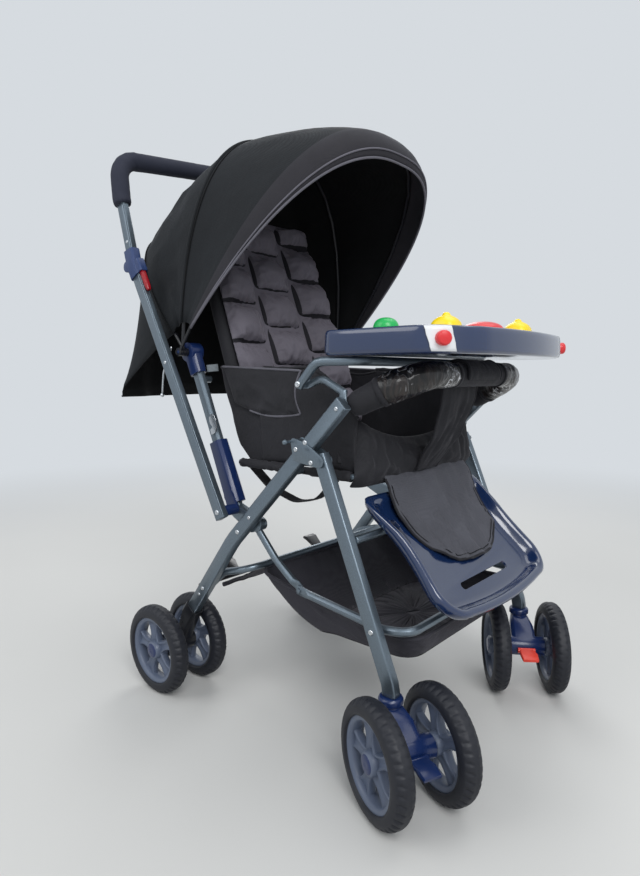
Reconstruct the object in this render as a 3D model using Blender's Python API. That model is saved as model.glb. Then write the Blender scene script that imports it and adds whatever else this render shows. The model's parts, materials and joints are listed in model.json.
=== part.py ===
# Folding stroller with a swing-over push handle, twin wheels and a play tray.
# Metres, +Z up. The child faces -Y. "right" is the child's right, at -X.
# Positions are worked out about the frame's middle plane, and the finished
# model is then moved so that the middle of its footprint box is at the origin.
import math

import bmesh
import bpy
from mathutils import Matrix, Vector

SIDES = {"right": -1, "left": 1}

# Clearances
FIT_GAP = 0.0003        # between faces that touch on the real object
RUN_GAP = 0.0005        # beside a piece that turns or slides

# Wheels
TYRE_RADIUS = 0.080
TYRE_WIDTH = 0.030
TYRE_BEAD_RADIUS = 0.0605
RIM_LIP = 0.0065
SPOKE_COUNT = 5
SPOKE_THICKNESS = 0.011
SPOKE_WINDOW_HALF_ANGLE = 23.0
HUB_RADIUS = 0.0165
HUB_LENGTH = 0.029
AXLE_RADIUS = 0.004
WHEEL_FACETS = 20

# Rear wheels
REAR_AXLE_Y = 0.217
REAR_PAIR_X = 0.225
REAR_PAIR_SPACING = 0.083
REAR_HUB_RADIUS = 0.020

# Front casters
FRONT_PAIR_SPACING = 0.099
CASTER_TRAIL = 0.045
CASTER_SWIVEL = {"right": 24.0, "left": 54.0}
CASTER_COLLAR_RADIUS = 0.0175
CASTER_COLLAR_HEIGHT = 0.034
CASTER_ARM_RADIUS = 0.0165
STEM_RADIUS = 0.0055
STEM_LENGTH = 0.030
LOCK_PEDAL_LENGTH = 0.034
LOCK_PEDAL_WIDTH = 0.030
LOCK_PEDAL_THICKNESS = 0.007
LOCK_HUB_RADIUS = 0.0045

# Leg tubes
LEG_PLANE = 0.212
LEG_THICKNESS = 0.016
LEG_DEPTH = 0.024
REAR_LEG_TOP = (-0.166, 0.531)
REAR_LEG_BEND = (0.072, 0.2925)
REAR_LEG_FOOT = (0.194, 0.1325)
FRONT_LEG_DEPTH = 0.022
FRONT_LEG_PIVOT = (-0.127, 0.446)
FRONT_LEG_KNEE = (-0.236, 0.180)
FRONT_LEG_STEM_Y = -0.250
FRONT_LEG_END_Z = 0.1345
GUSSET_THICKNESS = 0.0025

# Uprights with their lower braces, which turn on the rear legs
UPRIGHT_PLANE = 0.1905
UPRIGHT_THICKNESS = 0.016
UPRIGHT_DEPTH = 0.022
FOLD_PIVOT_Y = 0.043
UPRIGHT_FOOT = (0.078, 0.330)
BRACE_RADIUS = 0.0065
BRACE_JOINT = (-0.062, 0.232)
BASKET_BAR_PLANE = 0.1925
BASKET_BAR_PIVOT = (-0.219, 0.213)
BASKET_BAR_FRONT_Y = -0.264

# Blue sleeve round each upright
SLEEVE_WALL = 0.004
SLEEVE_LENGTH = 0.112
HANDLE_BOSS_RADIUS = 0.009

# Push handle
HANDLE_PLANE = 0.2335
HANDLE_THICKNESS = 0.014
HANDLE_DEPTH = 0.022
HANDLE_PIVOT = (0.079, 0.344)
HANDLE_LEG_TOP = (0.311, 0.771)
HANDLE_BAR_BEND = (0.346, 0.894)
HANDLE_BAR_TOP = (0.360, 0.968)
HANDLE_BAR_ARCH = 0.028
HANDLE_BAR_DEPTH = 0.020
HANDLE_CORNER_RADIUS = 0.055
GRIP_RADIUS = 0.0165
COLLAR_WALL = 0.003
COLLAR_LENGTH = 0.054
TRIGGER_LENGTH = 0.050
TRIGGER_WIDTH = 0.010
TRIGGER_DEPTH = 0.009
TRIGGER_TRAVEL = 0.008

# Canopy
CANOPY_HUB = (0.200, 0.610)
CANOPY_SHAPE = 2.6
HOOP_RADIUS = 0.003
HOOP_HALF_WIDTH = 0.2189    # of the front hoop; the others stand inside it
HOOP_STEP = 2 * HOOP_RADIUS + RUN_GAP
HOOPS = {
    "canopy_hoop_front": {"lean": 38.0, "reach": 0.448, "half_width": HOOP_HALF_WIDTH},
    "canopy_hoop_middle": {"lean": 5.0, "reach": 0.392, "half_width": HOOP_HALF_WIDTH - HOOP_STEP},
    "canopy_hoop_rear": {"lean": -42.0, "reach": 0.345, "half_width": HOOP_HALF_WIDTH - 2 * HOOP_STEP},
}
CANOPY_CLOTH = 0.0028
CANOPY_HEM_Z = 0.527
CANOPY_HEM_Y = 0.440
CLIP_WALL = 0.004
CLIP_LENGTH = 0.042
CLIP_HEAD_RADIUS = 0.017

# Seat
SEAT_TUBE_RADIUS = 0.005
SEAT_FRONT_Y = -0.158
SEAT_FRAME_Z = 0.420
SEAT_RAIL_X = 0.1725        # inside the upright sleeves, which pass it as the frame folds
SEAT_HALF_WIDTH = SEAT_RAIL_X - SEAT_TUBE_RADIUS - 0.0012
SEAT_CLOTH = 0.008
SEAT_FLOOR_Z = SEAT_FRAME_Z + 0.005
SEAT_SIDE_TOP_Z = 0.578
RECLINE_PIVOT = (0.085, SEAT_FRAME_Z)
BACKREST_LEAN = 21.0
BACKREST_LENGTH = 0.488
BACKREST_HALF_WIDTH = 0.150
BACKREST_PAD_DEPTH = 0.036
BACKREST_TUBE_RADIUS = 0.005

# Tray and bumper bar
TRAY_LINK_TOP = (-0.084, 0.556)
TRAY_HALF_WIDTH = 0.213
TRAY_REAR_Y = -0.118
TRAY_FRONT_Y = -0.318
TRAY_FRONT_BULGE = 0.030
TRAY_BOTTOM_Z = 0.5965
TRAY_RIM_HEIGHT = 0.036
TRAY_TUBE_RADIUS = 0.007
BUMPER_RADIUS = 0.0195
BUMPER_FRONT_Y = -0.252
BUMPER_FRONT_Z = 0.570
TOY_TRAVEL = 0.003

# Footrest and basket
FOOTREST_PIVOT = (-0.180, 0.336)
FOOTREST_HALF_WIDTH = 0.168
FOOTREST_TOP = (-0.158, 0.384)
FOOTREST_BOTTOM = (-0.312, 0.226)
FOOTREST_WALL = 0.004
FOOTREST_RIM = 0.020
BASKET_CLOTH = 0.004
BASKET_REAR_Y = 0.052
BASKET_FLOOR_Z = 0.1625   # clear of the casters as they turn
BASKET_SAG = 0.014
BASKET_DROP = 0.006        # the bar passes over the front hem as the frame folds
CROSSBAR_RADIUS = 0.0065
CROSSBAR_LEG_POINT = 0.62
CROSSBAR_RISE = 0.050
BRAKE_LEG_POINT = 0.70

COLOURS = {
    "frame": ((0.13, 0.17, 0.19), 0.35, 0.8),
    "navy": ((0.020, 0.045, 0.16), 0.22, 0.0),
    "blue": ((0.045, 0.09, 0.21), 0.35, 0.0),
    "foam": ((0.020, 0.024, 0.038), 0.85, 0.0),
    "cloth": ((0.014, 0.015, 0.018), 0.9, 0.0),
    "quilt": ((0.07, 0.06, 0.07), 0.75, 0.0),
    "flap": ((0.06, 0.055, 0.06), 0.85, 0.0),
    "wheel": ((0.012, 0.014, 0.026), 0.6, 0.0),
    "red": ((0.72, 0.04, 0.04), 0.3, 0.0),
    "dark_red": ((0.32, 0.01, 0.02), 0.35, 0.0),
    "white": ((0.80, 0.81, 0.82), 0.3, 0.0),
    "green": ((0.01, 0.42, 0.10), 0.3, 0.0),
    "steel": ((0.35, 0.37, 0.38), 0.3, 1.0),
}


# Shared tools

def clear_scene():
    for item in list(bpy.data.objects):
        bpy.data.objects.remove(item, do_unlink=True)


def material(colour):
    name = colour.replace("_", " ")
    found = bpy.data.materials.get(name)
    if found:
        return found
    made = bpy.data.materials.new(name)
    made.use_nodes = True
    shader = made.node_tree.nodes["Principled BSDF"]
    rgb, roughness, metallic = COLOURS[colour]
    shader.inputs["Base Color"].default_value = (*rgb, 1.0)
    shader.inputs["Roughness"].default_value = roughness
    shader.inputs["Metallic"].default_value = metallic
    return made


def finish(name, mesh, colour, smooth_angle=35.0):
    bm = bmesh.new()
    bm.from_mesh(mesh)
    bmesh.ops.remove_doubles(bm, verts=bm.verts, dist=1e-6)
    bmesh.ops.recalc_face_normals(bm, faces=bm.faces)
    bm.to_mesh(mesh)
    bm.free()
    mesh.materials.clear()
    mesh.materials.append(material(colour))
    mesh.shade_smooth()
    mesh.set_sharp_from_angle(angle=math.radians(smooth_angle))
    item = bpy.data.objects.new(name, mesh)
    bpy.context.collection.objects.link(item)
    return item


def mesh_from(vertices, faces, name="shape"):
    mesh = bpy.data.meshes.new(name)
    mesh.from_pydata([tuple(v) for v in vertices], [], faces)
    return mesh


def combined(base, others, operation):
    # Joins or cuts meshes with Blender's exact Boolean and returns the new mesh.
    base_item = bpy.data.objects.new("base", base)
    bpy.context.collection.objects.link(base_item)
    helpers = []
    for other in others:
        helper = bpy.data.objects.new("tool", other)
        helper.hide_render = True
        helper.display_type = "WIRE"
        bpy.context.collection.objects.link(helper)
        step = base_item.modifiers.new("step", "BOOLEAN")
        step.operation = operation
        step.object = helper
        helpers.append(helper)
    bpy.context.view_layer.update()
    graph = bpy.context.evaluated_depsgraph_get()
    result = bpy.data.meshes.new_from_object(base_item.evaluated_get(graph))
    for item in (base_item, *helpers):
        bpy.data.objects.remove(item, do_unlink=True)
    return result


def union(base, *others):
    return combined(base, others, "UNION")


def cut(base, *others):
    return combined(base, others, "DIFFERENCE")


def at_side(point_yz, side, plane):
    return Vector((SIDES[side] * plane, point_yz[0], point_yz[1]))


def between(start, end, share):
    return tuple(a + (b - a) * share for a, b in zip(start, end))


def direction(start, end):
    return Vector((end[0] - start[0], end[1] - start[1])).normalized()


def rounded_path(corners, radius, step_angle=20.0):
    # A polyline whose corners are replaced by arcs of one radius.
    corners = [Vector(corner) for corner in corners]
    path = [corners[0]]
    for before, corner, after in zip(corners, corners[1:], corners[2:]):
        into = (before - corner).normalized()
        away = (after - corner).normalized()
        half = into.angle(away) / 2
        room = min((before - corner).length, (after - corner).length) * 0.49
        setback = min(radius / math.tan(half), room)
        bend = setback * math.tan(half)
        centre = corner + (into + away).normalized() * bend / math.sin(half)
        start = corner + into * setback - centre
        end = corner + away * setback - centre
        sweep_angle = start.angle(end)
        steps = max(1, round(math.degrees(sweep_angle) / step_angle))
        for step in range(steps + 1):
            share = step / steps
            weight_a = math.sin((1 - share) * sweep_angle) / math.sin(sweep_angle)
            weight_b = math.sin(share * sweep_angle) / math.sin(sweep_angle)
            path.append(centre + start * weight_a + end * weight_b)
    path.append(corners[-1])
    return path


def round_section(radius, sides=8):
    turns = [math.tau * (index + 0.5) / sides for index in range(sides)]
    return [(radius * math.cos(turn), radius * math.sin(turn)) for turn in turns]


def soft_box_section(width, depth, corner=0.003):
    # Three points to each corner, so that it pairs with a twelve-sided round.
    points = []
    for quarter in range(4):
        sign_w = 1 if quarter in (0, 3) else -1
        sign_d = 1 if quarter in (0, 1) else -1
        for step in range(3):
            angle = math.radians(90 * quarter + 45 * step)
            points.append((sign_w * (width / 2 - corner) + corner * math.cos(angle),
                           sign_d * (depth / 2 - corner) + corner * math.sin(angle)))
    return points


def box_section(width, depth, corner=0.002):
    half_w, half_d = width / 2, depth / 2
    corner = min(corner, half_w * 0.6, half_d * 0.6)
    return [(half_w, -half_d + corner), (half_w, half_d - corner),
            (half_w - corner, half_d), (-half_w + corner, half_d),
            (-half_w, half_d - corner), (-half_w, -half_d + corner),
            (-half_w + corner, -half_d), (half_w - corner, -half_d)]


def sweep(path, section, side_axis=Vector((1, 0, 0)), scales=None, hole=None):
    # Carries a section along a path. The section's first axis starts along
    # side_axis and turns with the path. scales holds one (first, second) pair
    # for each point, for ends that flatten. hole is a second section with as
    # many points, for a piece that is open right through.
    path = [Vector(point) for point in path]
    bm = bmesh.new()
    rings, holes = [], []
    across = Vector(side_axis)
    for index, point in enumerate(path):
        into = (point - path[index - 1]).normalized() if index else None
        away = (path[index + 1] - point).normalized() if index + 1 < len(path) else None
        if into is None:
            tangent = away
        elif away is None:
            tangent = into
        else:
            tangent = (into + away).normalized()
        if abs(across.dot(tangent)) > 0.999:
            across = Vector((0, 0, 1)) if abs(tangent.z) < 0.9 else Vector((0, 1, 0))
        across = (across - tangent * across.dot(tangent)).normalized()
        other = tangent.cross(across)
        stretch = Vector((0, 0, 0))
        factor = 1.0
        if into is not None and away is not None and into.angle(away) > 1e-4:
            stretch = (away - into).normalized()
            factor = 1 / math.cos(into.angle(away) / 2)
        scale = scales[index] if scales else (1.0, 1.0)
        for outline, kept in ((section, rings), (hole or [], holes)):
            ring = []
            for first, second in outline:
                offset = across * first * scale[0] + other * second * scale[1]
                if factor > 1.0:
                    offset += stretch * offset.dot(stretch) * (factor - 1)
                ring.append(bm.verts.new(point + offset))
            kept.append(ring)
    count = len(section)
    for wall in ([rings, holes] if hole else [rings]):
        for ring, following in zip(wall, wall[1:]):
            for index in range(count):
                after = (index + 1) % count
                bm.faces.new((ring[index], ring[after], following[after], following[index]))
    for end in (0, -1):
        if not hole:
            bm.faces.new(rings[end])
            continue
        for index in range(count):
            after = (index + 1) % count
            bm.faces.new((rings[end][index], rings[end][after], holes[end][after], holes[end][index]))
    bmesh.ops.recalc_face_normals(bm, faces=bm.faces)
    mesh = bpy.data.meshes.new("tube")
    bm.to_mesh(mesh)
    bm.free()
    return mesh


def revolve(profile, facets, centre=Vector((0, 0, 0)), axis=Vector((1, 0, 0)), turn=0.5):
    # Turns a profile of (along, radius) points about an axis through centre.
    axis = Vector(axis).normalized()
    first = axis.orthogonal().normalized()
    if abs(axis.z) < 0.9:
        first = Vector((0, 0, 1)) - axis * axis.z
        first.normalize()
    second = axis.cross(first)
    vertices = []
    rings = []
    for along, radius in profile:
        if radius < 1e-9:
            rings.append([len(vertices)])
            vertices.append(centre + axis * along)
            continue
        ring = []
        for index in range(facets):
            angle = math.tau * (index + turn) / facets
            ring.append(len(vertices))
            spoke = first * math.cos(angle) + second * math.sin(angle)
            vertices.append(centre + axis * along + spoke * radius)
        rings.append(ring)
    closed = len(rings[0]) > 1
    pairs = list(zip(rings, rings[1:] + rings[:1])) if closed else list(zip(rings, rings[1:]))
    faces = []
    for ring, following in pairs:
        for index in range(facets):
            after = (index + 1) % facets
            if len(ring) == 1:
                faces.append((ring[0], following[after], following[index]))
            elif len(following) == 1:
                faces.append((ring[index], ring[after], following[0]))
            else:
                faces.append((ring[index], ring[after], following[after], following[index]))
    return outward(mesh_from(vertices, faces, "turned"))


def outward(mesh):
    bm = bmesh.new()
    bm.from_mesh(mesh)
    bmesh.ops.recalc_face_normals(bm, faces=bm.faces)
    bm.to_mesh(mesh)
    bm.free()
    return mesh


def disc(centre, axis, radius, low, high, facets=16):
    return revolve([(low, 0), (low, radius), (high, radius), (high, 0)],
                   facets, Vector(centre), axis)


def extrude_outline(outline, low, high, place):
    # place turns (first, second, height) into a point in space.
    count = len(outline)
    vertices = [place(a, b, low) for a, b in outline] + [place(a, b, high) for a, b in outline]
    faces = [tuple(range(count)), tuple(range(2 * count - 1, count - 1, -1))]
    for index in range(count):
        after = (index + 1) % count
        faces.append((index, index + count, after + count, after))
    return outward(mesh_from(vertices, faces, "plate"))


def hull_outline(circles, steps=8):
    # The outline round several (centre, radius) circles, in order.
    points = []
    for (y, z), radius in circles:
        for index in range(steps * 2):
            angle = math.tau * index / (steps * 2)
            points.append((y + radius * math.cos(angle), z + radius * math.sin(angle)))
    points = sorted(set((round(a, 6), round(b, 6)) for a, b in points))

    def half(run):
        chain = []
        for point in run:
            while len(chain) > 1:
                (ay, az), (by, bz) = chain[-2], chain[-1]
                if (by - ay) * (point[1] - az) - (bz - az) * (point[0] - ay) > 1e-12:
                    break
                chain.pop()
            chain.append(point)
        return chain[:-1]
    return half(points) + half(reversed(points))


def side_plate(outline, plane_low, plane_high, side):
    sign = SIDES[side]
    return extrude_outline(outline, plane_low, plane_high,
                           lambda y, z, x: Vector((sign * x, y, z)))


# Places that several pieces share

REAR_LEG_AXIS = direction(REAR_LEG_TOP, REAR_LEG_BEND)
FOLD_PIVOT = between(REAR_LEG_TOP, REAR_LEG_BEND,
                     (FOLD_PIVOT_Y - REAR_LEG_TOP[0]) / (REAR_LEG_BEND[0] - REAR_LEG_TOP[0]))
LEG_OUTER = LEG_PLANE + LEG_THICKNESS / 2
LEG_INNER = LEG_PLANE - LEG_THICKNESS / 2
UPRIGHT_OUTER = UPRIGHT_PLANE + UPRIGHT_THICKNESS / 2
UPRIGHT_INNER = UPRIGHT_PLANE - UPRIGHT_THICKNESS / 2
UPRIGHT_AXIS = direction(UPRIGHT_FOOT, CANOPY_HUB)
HANDLE_INNER = HANDLE_PLANE - HANDLE_THICKNESS / 2
HANDLE_AXIS = direction(HANDLE_PIVOT, HANDLE_LEG_TOP)
REAR_WHEEL_Z = TYRE_RADIUS * math.cos(math.pi / WHEEL_FACETS)


def along(point, axis, distance):
    return (point[0] + axis[0] * distance, point[1] + axis[1] * distance)


def front_stem(side):
    return Vector((SIDES[side] * LEG_PLANE, FRONT_LEG_STEM_Y, 0))


def caster_heading(side):
    angle = math.radians(CASTER_SWIVEL[side])
    return Vector((math.sin(angle), math.cos(angle), 0))


def caster_axle(side):
    centre = front_stem(side) - caster_heading(side) * CASTER_TRAIL
    return centre + Vector((0, 0, REAR_WHEEL_Z))


def axle_direction(side):
    heading = caster_heading(side)
    return Vector((heading.y, -heading.x, 0))


# Wheels

def wheel_mesh(centre, outward_axis):
    half = TYRE_WIDTH / 2
    web = SPOKE_THICKNESS / 2
    hub = HUB_LENGTH / 2
    rim_inner = TYRE_BEAD_RADIUS - RIM_LIP
    shoulder = 0.005
    bore = AXLE_RADIUS + FIT_GAP
    profile = [
        (hub + 0.003, 0),
        (hub, HUB_RADIUS * 0.8),
        (web, HUB_RADIUS),
        (web, rim_inner),
        (half, TYRE_BEAD_RADIUS),
        (half - shoulder, TYRE_RADIUS),
        (-half + shoulder, TYRE_RADIUS),
        (-half, TYRE_BEAD_RADIUS),
        (-web, rim_inner),
        (-web, HUB_RADIUS),
        (-hub, HUB_RADIUS),
        (-hub, bore),
        (hub - 0.002, bore),
        (hub - 0.002, 0),
    ]
    body = revolve(profile, WHEEL_FACETS, centre, outward_axis)
    axis = Vector(outward_axis).normalized()
    up = Vector((0, 0, 1))
    across = axis.cross(up)
    low = HUB_RADIUS + 0.0025
    high = rim_inner - 0.002
    windows = []
    for index in range(SPOKE_COUNT):
        middle = math.tau * index / SPOKE_COUNT
        wide = math.radians(SPOKE_WINDOW_HALF_ANGLE)
        narrow = wide * 0.55
        outline = [(low, -narrow), (high, -wide), (high, wide), (low, narrow)]
        flat = []
        for radius, turn in outline:
            flat.append((radius * math.cos(middle + turn), radius * math.sin(middle + turn)))
        windows.append(extrude_outline(
            flat, -half, half,
            lambda a, b, height: centre + up * a + across * b + axis * height))
    return cut(body, *windows)


def add_wheels():
    made = {}
    for side, sign in SIDES.items():
        for place, outer in (("outer", 1), ("inner", -1)):
            offset = outer * REAR_PAIR_SPACING / 2
            centre = Vector((sign * (REAR_PAIR_X + offset), REAR_AXLE_Y, REAR_WHEEL_Z))
            name = f"rear_wheel_{side}_{place}"
            mesh = wheel_mesh(centre, Vector((sign * outer, 0, 0)))
            made[name] = (finish(name, mesh, "wheel"), centre)
            axle = axle_direction(side) * sign
            centre = caster_axle(side) + axle * outer * FRONT_PAIR_SPACING / 2
            name = f"front_wheel_{side}_{place}"
            made[name] = (finish(name, wheel_mesh(centre, axle * outer), "wheel"), centre)
    return made


# Rear legs, hubs and gussets

def rear_leg(side):
    corners = [at_side(REAR_LEG_TOP, side, LEG_PLANE), at_side(REAR_LEG_BEND, side, LEG_PLANE),
               at_side(REAR_LEG_FOOT, side, LEG_PLANE)]
    path = rounded_path(corners, 0.12)
    return finish(f"rear_leg_{side}", sweep(path, box_section(LEG_THICKNESS, LEG_DEPTH)), "frame")


def rear_hub(side):
    sign = SIDES[side]
    axle = Vector((sign * REAR_PAIR_X, REAR_AXLE_Y, REAR_WHEEL_Z))
    x_axis = Vector((1, 0, 0))
    half = REAR_PAIR_SPACING / 2 - HUB_LENGTH / 2 - RUN_GAP
    reach = REAR_PAIR_SPACING / 2 + HUB_LENGTH / 2 - 0.003
    barrel = disc(axle, x_axis, REAR_HUB_RADIUS, -half, half, 20)
    shaft = disc(axle, x_axis, AXLE_RADIUS, -reach, reach, 12)
    leg_axis = direction(REAR_LEG_BEND, REAR_LEG_FOOT)
    mouth = along(REAR_LEG_FOOT, leg_axis, -0.022)
    low_end = (axle.y - 0.004, axle.z + 0.004)
    wall = 0.0035
    section = box_section(LEG_THICKNESS + 2 * wall, LEG_DEPTH + 2 * wall, 0.004)
    path = [at_side(mouth, side, LEG_PLANE), at_side(REAR_LEG_FOOT, side, LEG_PLANE),
            Vector((sign * (LEG_PLANE + 0.004), *low_end))]
    socket = sweep(path, section, scales=[(1, 1), (1, 1), (0.9, 0.8)])
    inside = [at_side(along(REAR_LEG_FOOT, leg_axis, -0.060), side, LEG_PLANE),
              at_side(along(REAR_LEG_FOOT, leg_axis, FIT_GAP), side, LEG_PLANE)]
    room = sweep(inside, box_section(LEG_THICKNESS + 2 * FIT_GAP, LEG_DEPTH + 2 * FIT_GAP, 0.0015))
    body = cut(union(barrel, socket, shaft), room)
    return finish(f"rear_hub_{side}", body, "navy")


def gusset(side):
    # Two matching cheeks, one on each face of the leg, joined by a short web
    # that stands clear above the leg's edge.
    foot = between(REAR_LEG_TOP, REAR_LEG_BEND, 0.315)
    normal = Vector((REAR_LEG_AXIS[1], -REAR_LEG_AXIS[0]))
    if normal[1] < 0:
        normal = -normal
    near = along(foot, REAR_LEG_AXIS, -0.011)
    far = along(foot, REAR_LEG_AXIS, 0.008)
    lobe = along(along(foot, normal, 0.0195), REAR_LEG_AXIS, -0.002)
    outline = hull_outline([(near, 0.0085), (far, 0.0085), (FRONT_LEG_PIVOT, 0.0095), (lobe, 0.0055)])
    cheeks = []
    for low in (LEG_OUTER + FIT_GAP, LEG_INNER - FIT_GAP - GUSSET_THICKNESS):
        cheeks.append(side_plate(outline, low, low + GUSSET_THICKNESS, side))
    web_outline = hull_outline([(lobe, 0.0042)], 5)
    web = side_plate(web_outline, LEG_INNER - FIT_GAP - GUSSET_THICKNESS / 2,
                     LEG_OUTER + FIT_GAP + GUSSET_THICKNESS / 2, side)
    stud_place = along(lobe, Vector((normal[0] + REAR_LEG_AXIS[0], normal[1] + REAR_LEG_AXIS[1])), 0.004)
    stud_start = LEG_OUTER + FIT_GAP
    shank = revolve([(stud_start, 0), (stud_start, 0.0022), (HANDLE_PLANE, 0.0022), (HANDLE_PLANE, 0)],
                    8, Vector((0, stud_place[0], stud_place[1])), Vector((SIDES[side], 0, 0)))
    ball_x = SIDES[side] * (HANDLE_PLANE + 0.001)
    ball = revolve([(-0.0042, 0), (-0.0030, 0.0030), (0, 0.0042), (0.0030, 0.0030), (0.0042, 0)],
                   10, Vector((ball_x, stud_place[0], stud_place[1])), Vector((1, 0, 0)))
    return finish(f"gusset_{side}", union(cheeks[0], web, cheeks[1], shank, ball), "frame")


def rear_crossbar():
    leg_point = between(REAR_LEG_BEND, REAR_LEG_FOOT, CROSSBAR_LEG_POINT)
    plane = LEG_INNER - RUN_GAP - CROSSBAR_RADIUS
    ring = []
    for side in ("right", "left"):
        run = [at_side(along(leg_point, (1, 0), 0.004), side, plane),
               at_side((leg_point[0] - 0.034, leg_point[1] + 0.032), side, plane),
               at_side((BASKET_REAR_Y, leg_point[1] + CROSSBAR_RISE), side, plane)]
        ring.append(run)
    corners = ring[0] + list(reversed(ring[1]))
    path = rounded_path(corners, 0.028)
    return finish("rear_crossbar", sweep(path, round_section(CROSSBAR_RADIUS)), "frame")


# Front legs and casters

def front_leg(side):
    sign = SIDES[side]
    axis = direction(FRONT_LEG_PIVOT, FRONT_LEG_KNEE)
    top = along(FRONT_LEG_PIVOT, axis, -0.010)
    corners = [at_side(top, side, LEG_PLANE), at_side(FRONT_LEG_KNEE, side, LEG_PLANE),
               at_side((FRONT_LEG_STEM_Y, FRONT_LEG_KNEE[1] - 0.034), side, LEG_PLANE),
               at_side((FRONT_LEG_STEM_Y, FRONT_LEG_END_Z), side, LEG_PLANE)]
    tube = sweep(rounded_path(corners, 0.045), box_section(LEG_THICKNESS, FRONT_LEG_DEPTH))
    stem = revolve([(0.004, 0), (0.004, STEM_RADIUS), (-STEM_LENGTH, STEM_RADIUS), (-STEM_LENGTH, 0)],
                   12, Vector((sign * LEG_PLANE, FRONT_LEG_STEM_Y, FRONT_LEG_END_Z)), Vector((0, 0, 1)))
    return finish(f"front_leg_{side}", union(tube, stem), "frame")


def front_crossbar():
    reach = LEG_INNER - FIT_GAP
    path = [Vector((x, *FOOTREST_PIVOT)) for x in (-reach, reach)]
    return finish("front_crossbar", sweep(path, round_section(CROSSBAR_RADIUS)), "frame")


def caster(side):
    sign = SIDES[side]
    stem = front_stem(side)
    axle = caster_axle(side)
    across = axle_direction(side)
    top = FRONT_LEG_END_Z - RUN_GAP
    low = top - CASTER_COLLAR_HEIGHT
    collar = revolve([(top, 0), (top, CASTER_COLLAR_RADIUS - 0.002),
                      (top - 0.003, CASTER_COLLAR_RADIUS), (top - 0.009, CASTER_COLLAR_RADIUS),
                      (top - 0.011, CASTER_COLLAR_RADIUS - 0.003),
                      (low, CASTER_COLLAR_RADIUS - 0.001), (low, 0)],
                     16, Vector((stem.x, stem.y, 0)), Vector((0, 0, 1)))
    half = FRONT_PAIR_SPACING / 2 - HUB_LENGTH / 2 - RUN_GAP
    reach = FRONT_PAIR_SPACING / 2 + HUB_LENGTH / 2 - 0.003
    barrel = disc(axle, across, CASTER_ARM_RADIUS, -half, half, 18)
    shaft = disc(axle, across, AXLE_RADIUS, -reach, reach, 12)
    start = Vector((stem.x, stem.y, low + 0.010))
    middle = start.lerp(axle, 0.5) + Vector((0, 0, 0.006))
    width = 2 * half * 0.62
    arm = sweep([start, middle, axle], box_section(width, 0.030, 0.006), across,
                scales=[(0.75, 1.0), (0.95, 1.0), (1.0, 0.9)])
    bore = disc(Vector((stem.x, stem.y, 0)), Vector((0, 0, 1)), STEM_RADIUS + FIT_GAP,
                FRONT_LEG_END_Z - STEM_LENGTH - 0.001, top + 0.01, 12)
    body = cut(union(collar, arm, barrel, shaft), bore)
    return finish(f"caster_{side}", body, "navy")


def lock_pin(side):
    reach = CASTER_ARM_RADIUS + LOCK_HUB_RADIUS + FIT_GAP
    return caster_axle(side) - caster_heading(side) * reach


def caster_lock(side):
    pin = lock_pin(side)
    heading = caster_heading(side)
    across = axle_direction(side)
    up = Vector((0, 0, 1))
    path = [pin + heading * 0.002, pin - heading * (LOCK_PEDAL_LENGTH * 0.55) + up * 0.001,
            pin - heading * LOCK_PEDAL_LENGTH - up * 0.003]
    section = box_section(LOCK_PEDAL_WIDTH, LOCK_PEDAL_THICKNESS, 0.002)
    tab = sweep(path, section, across, scales=[(0.8, 1), (1, 1), (0.9, 0.75)])
    hub = disc(pin, across, LOCK_HUB_RADIUS, -LOCK_PEDAL_WIDTH / 2, LOCK_PEDAL_WIDTH / 2, 12)
    return finish(f"caster_lock_{side}", union(tab, hub), "red")


# Uprights with their braces, sleeves and clips

def upright(side):
    sign = SIDES[side]
    foot = UPRIGHT_FOOT
    top = along(CANOPY_HUB, UPRIGHT_AXIS, -0.004)
    tube = sweep([at_side(foot, side, UPRIGHT_PLANE), at_side(top, side, UPRIGHT_PLANE)],
                 box_section(UPRIGHT_THICKNESS, UPRIGHT_DEPTH, 0.005))
    start = along(FOLD_PIVOT, (-0.6, -0.2), 0.006)
    mid = (FOLD_PIVOT[0] - 0.052, FOLD_PIVOT[1] - 0.052)
    end = BRACE_JOINT
    flat_axis = direction(mid, end)
    thin = 0.0036
    shift = -0.0022
    corners = [at_side(start, side, UPRIGHT_PLANE), at_side(mid, side, UPRIGHT_PLANE),
               at_side(along(end, flat_axis, -0.020), side, UPRIGHT_PLANE)]
    path = rounded_path(corners, 0.06)
    scales = [(1, 1)] * len(path)
    for distance in (-0.012, 0.005):
        path.append(at_side(along(end, flat_axis, distance), side, UPRIGHT_PLANE + shift))
        scales.append((thin / (2 * BRACE_RADIUS), 1.25))
    brace = sweep(path, round_section(BRACE_RADIUS), scales=scales)
    bracket = hull_outline([(along(foot, UPRIGHT_AXIS, 0.010), 0.012), (FOLD_PIVOT, 0.013),
                            (along(FOLD_PIVOT, (-0.7, 0.1), 0.020), 0.010)])
    plate = side_plate(bracket, UPRIGHT_PLANE - 0.0075, UPRIGHT_PLANE + 0.0075, side)
    boss = revolve([(UPRIGHT_PLANE, 0), (UPRIGHT_PLANE, 0.009), (LEG_INNER - RUN_GAP, 0.009),
                    (LEG_INNER - RUN_GAP, 0)], 16, Vector((0, *FOLD_PIVOT)), Vector((sign, 0, 0)))
    tab_place = along(CANOPY_HUB, UPRIGHT_AXIS, -0.052)
    tab = side_plate(hull_outline([(tab_place, 0.0065)], 4), UPRIGHT_INNER - 0.014,
                     UPRIGHT_INNER + 0.004, side)
    return finish(f"upright_{side}", union(tube, plate, brace, boss, tab), "frame")


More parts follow.
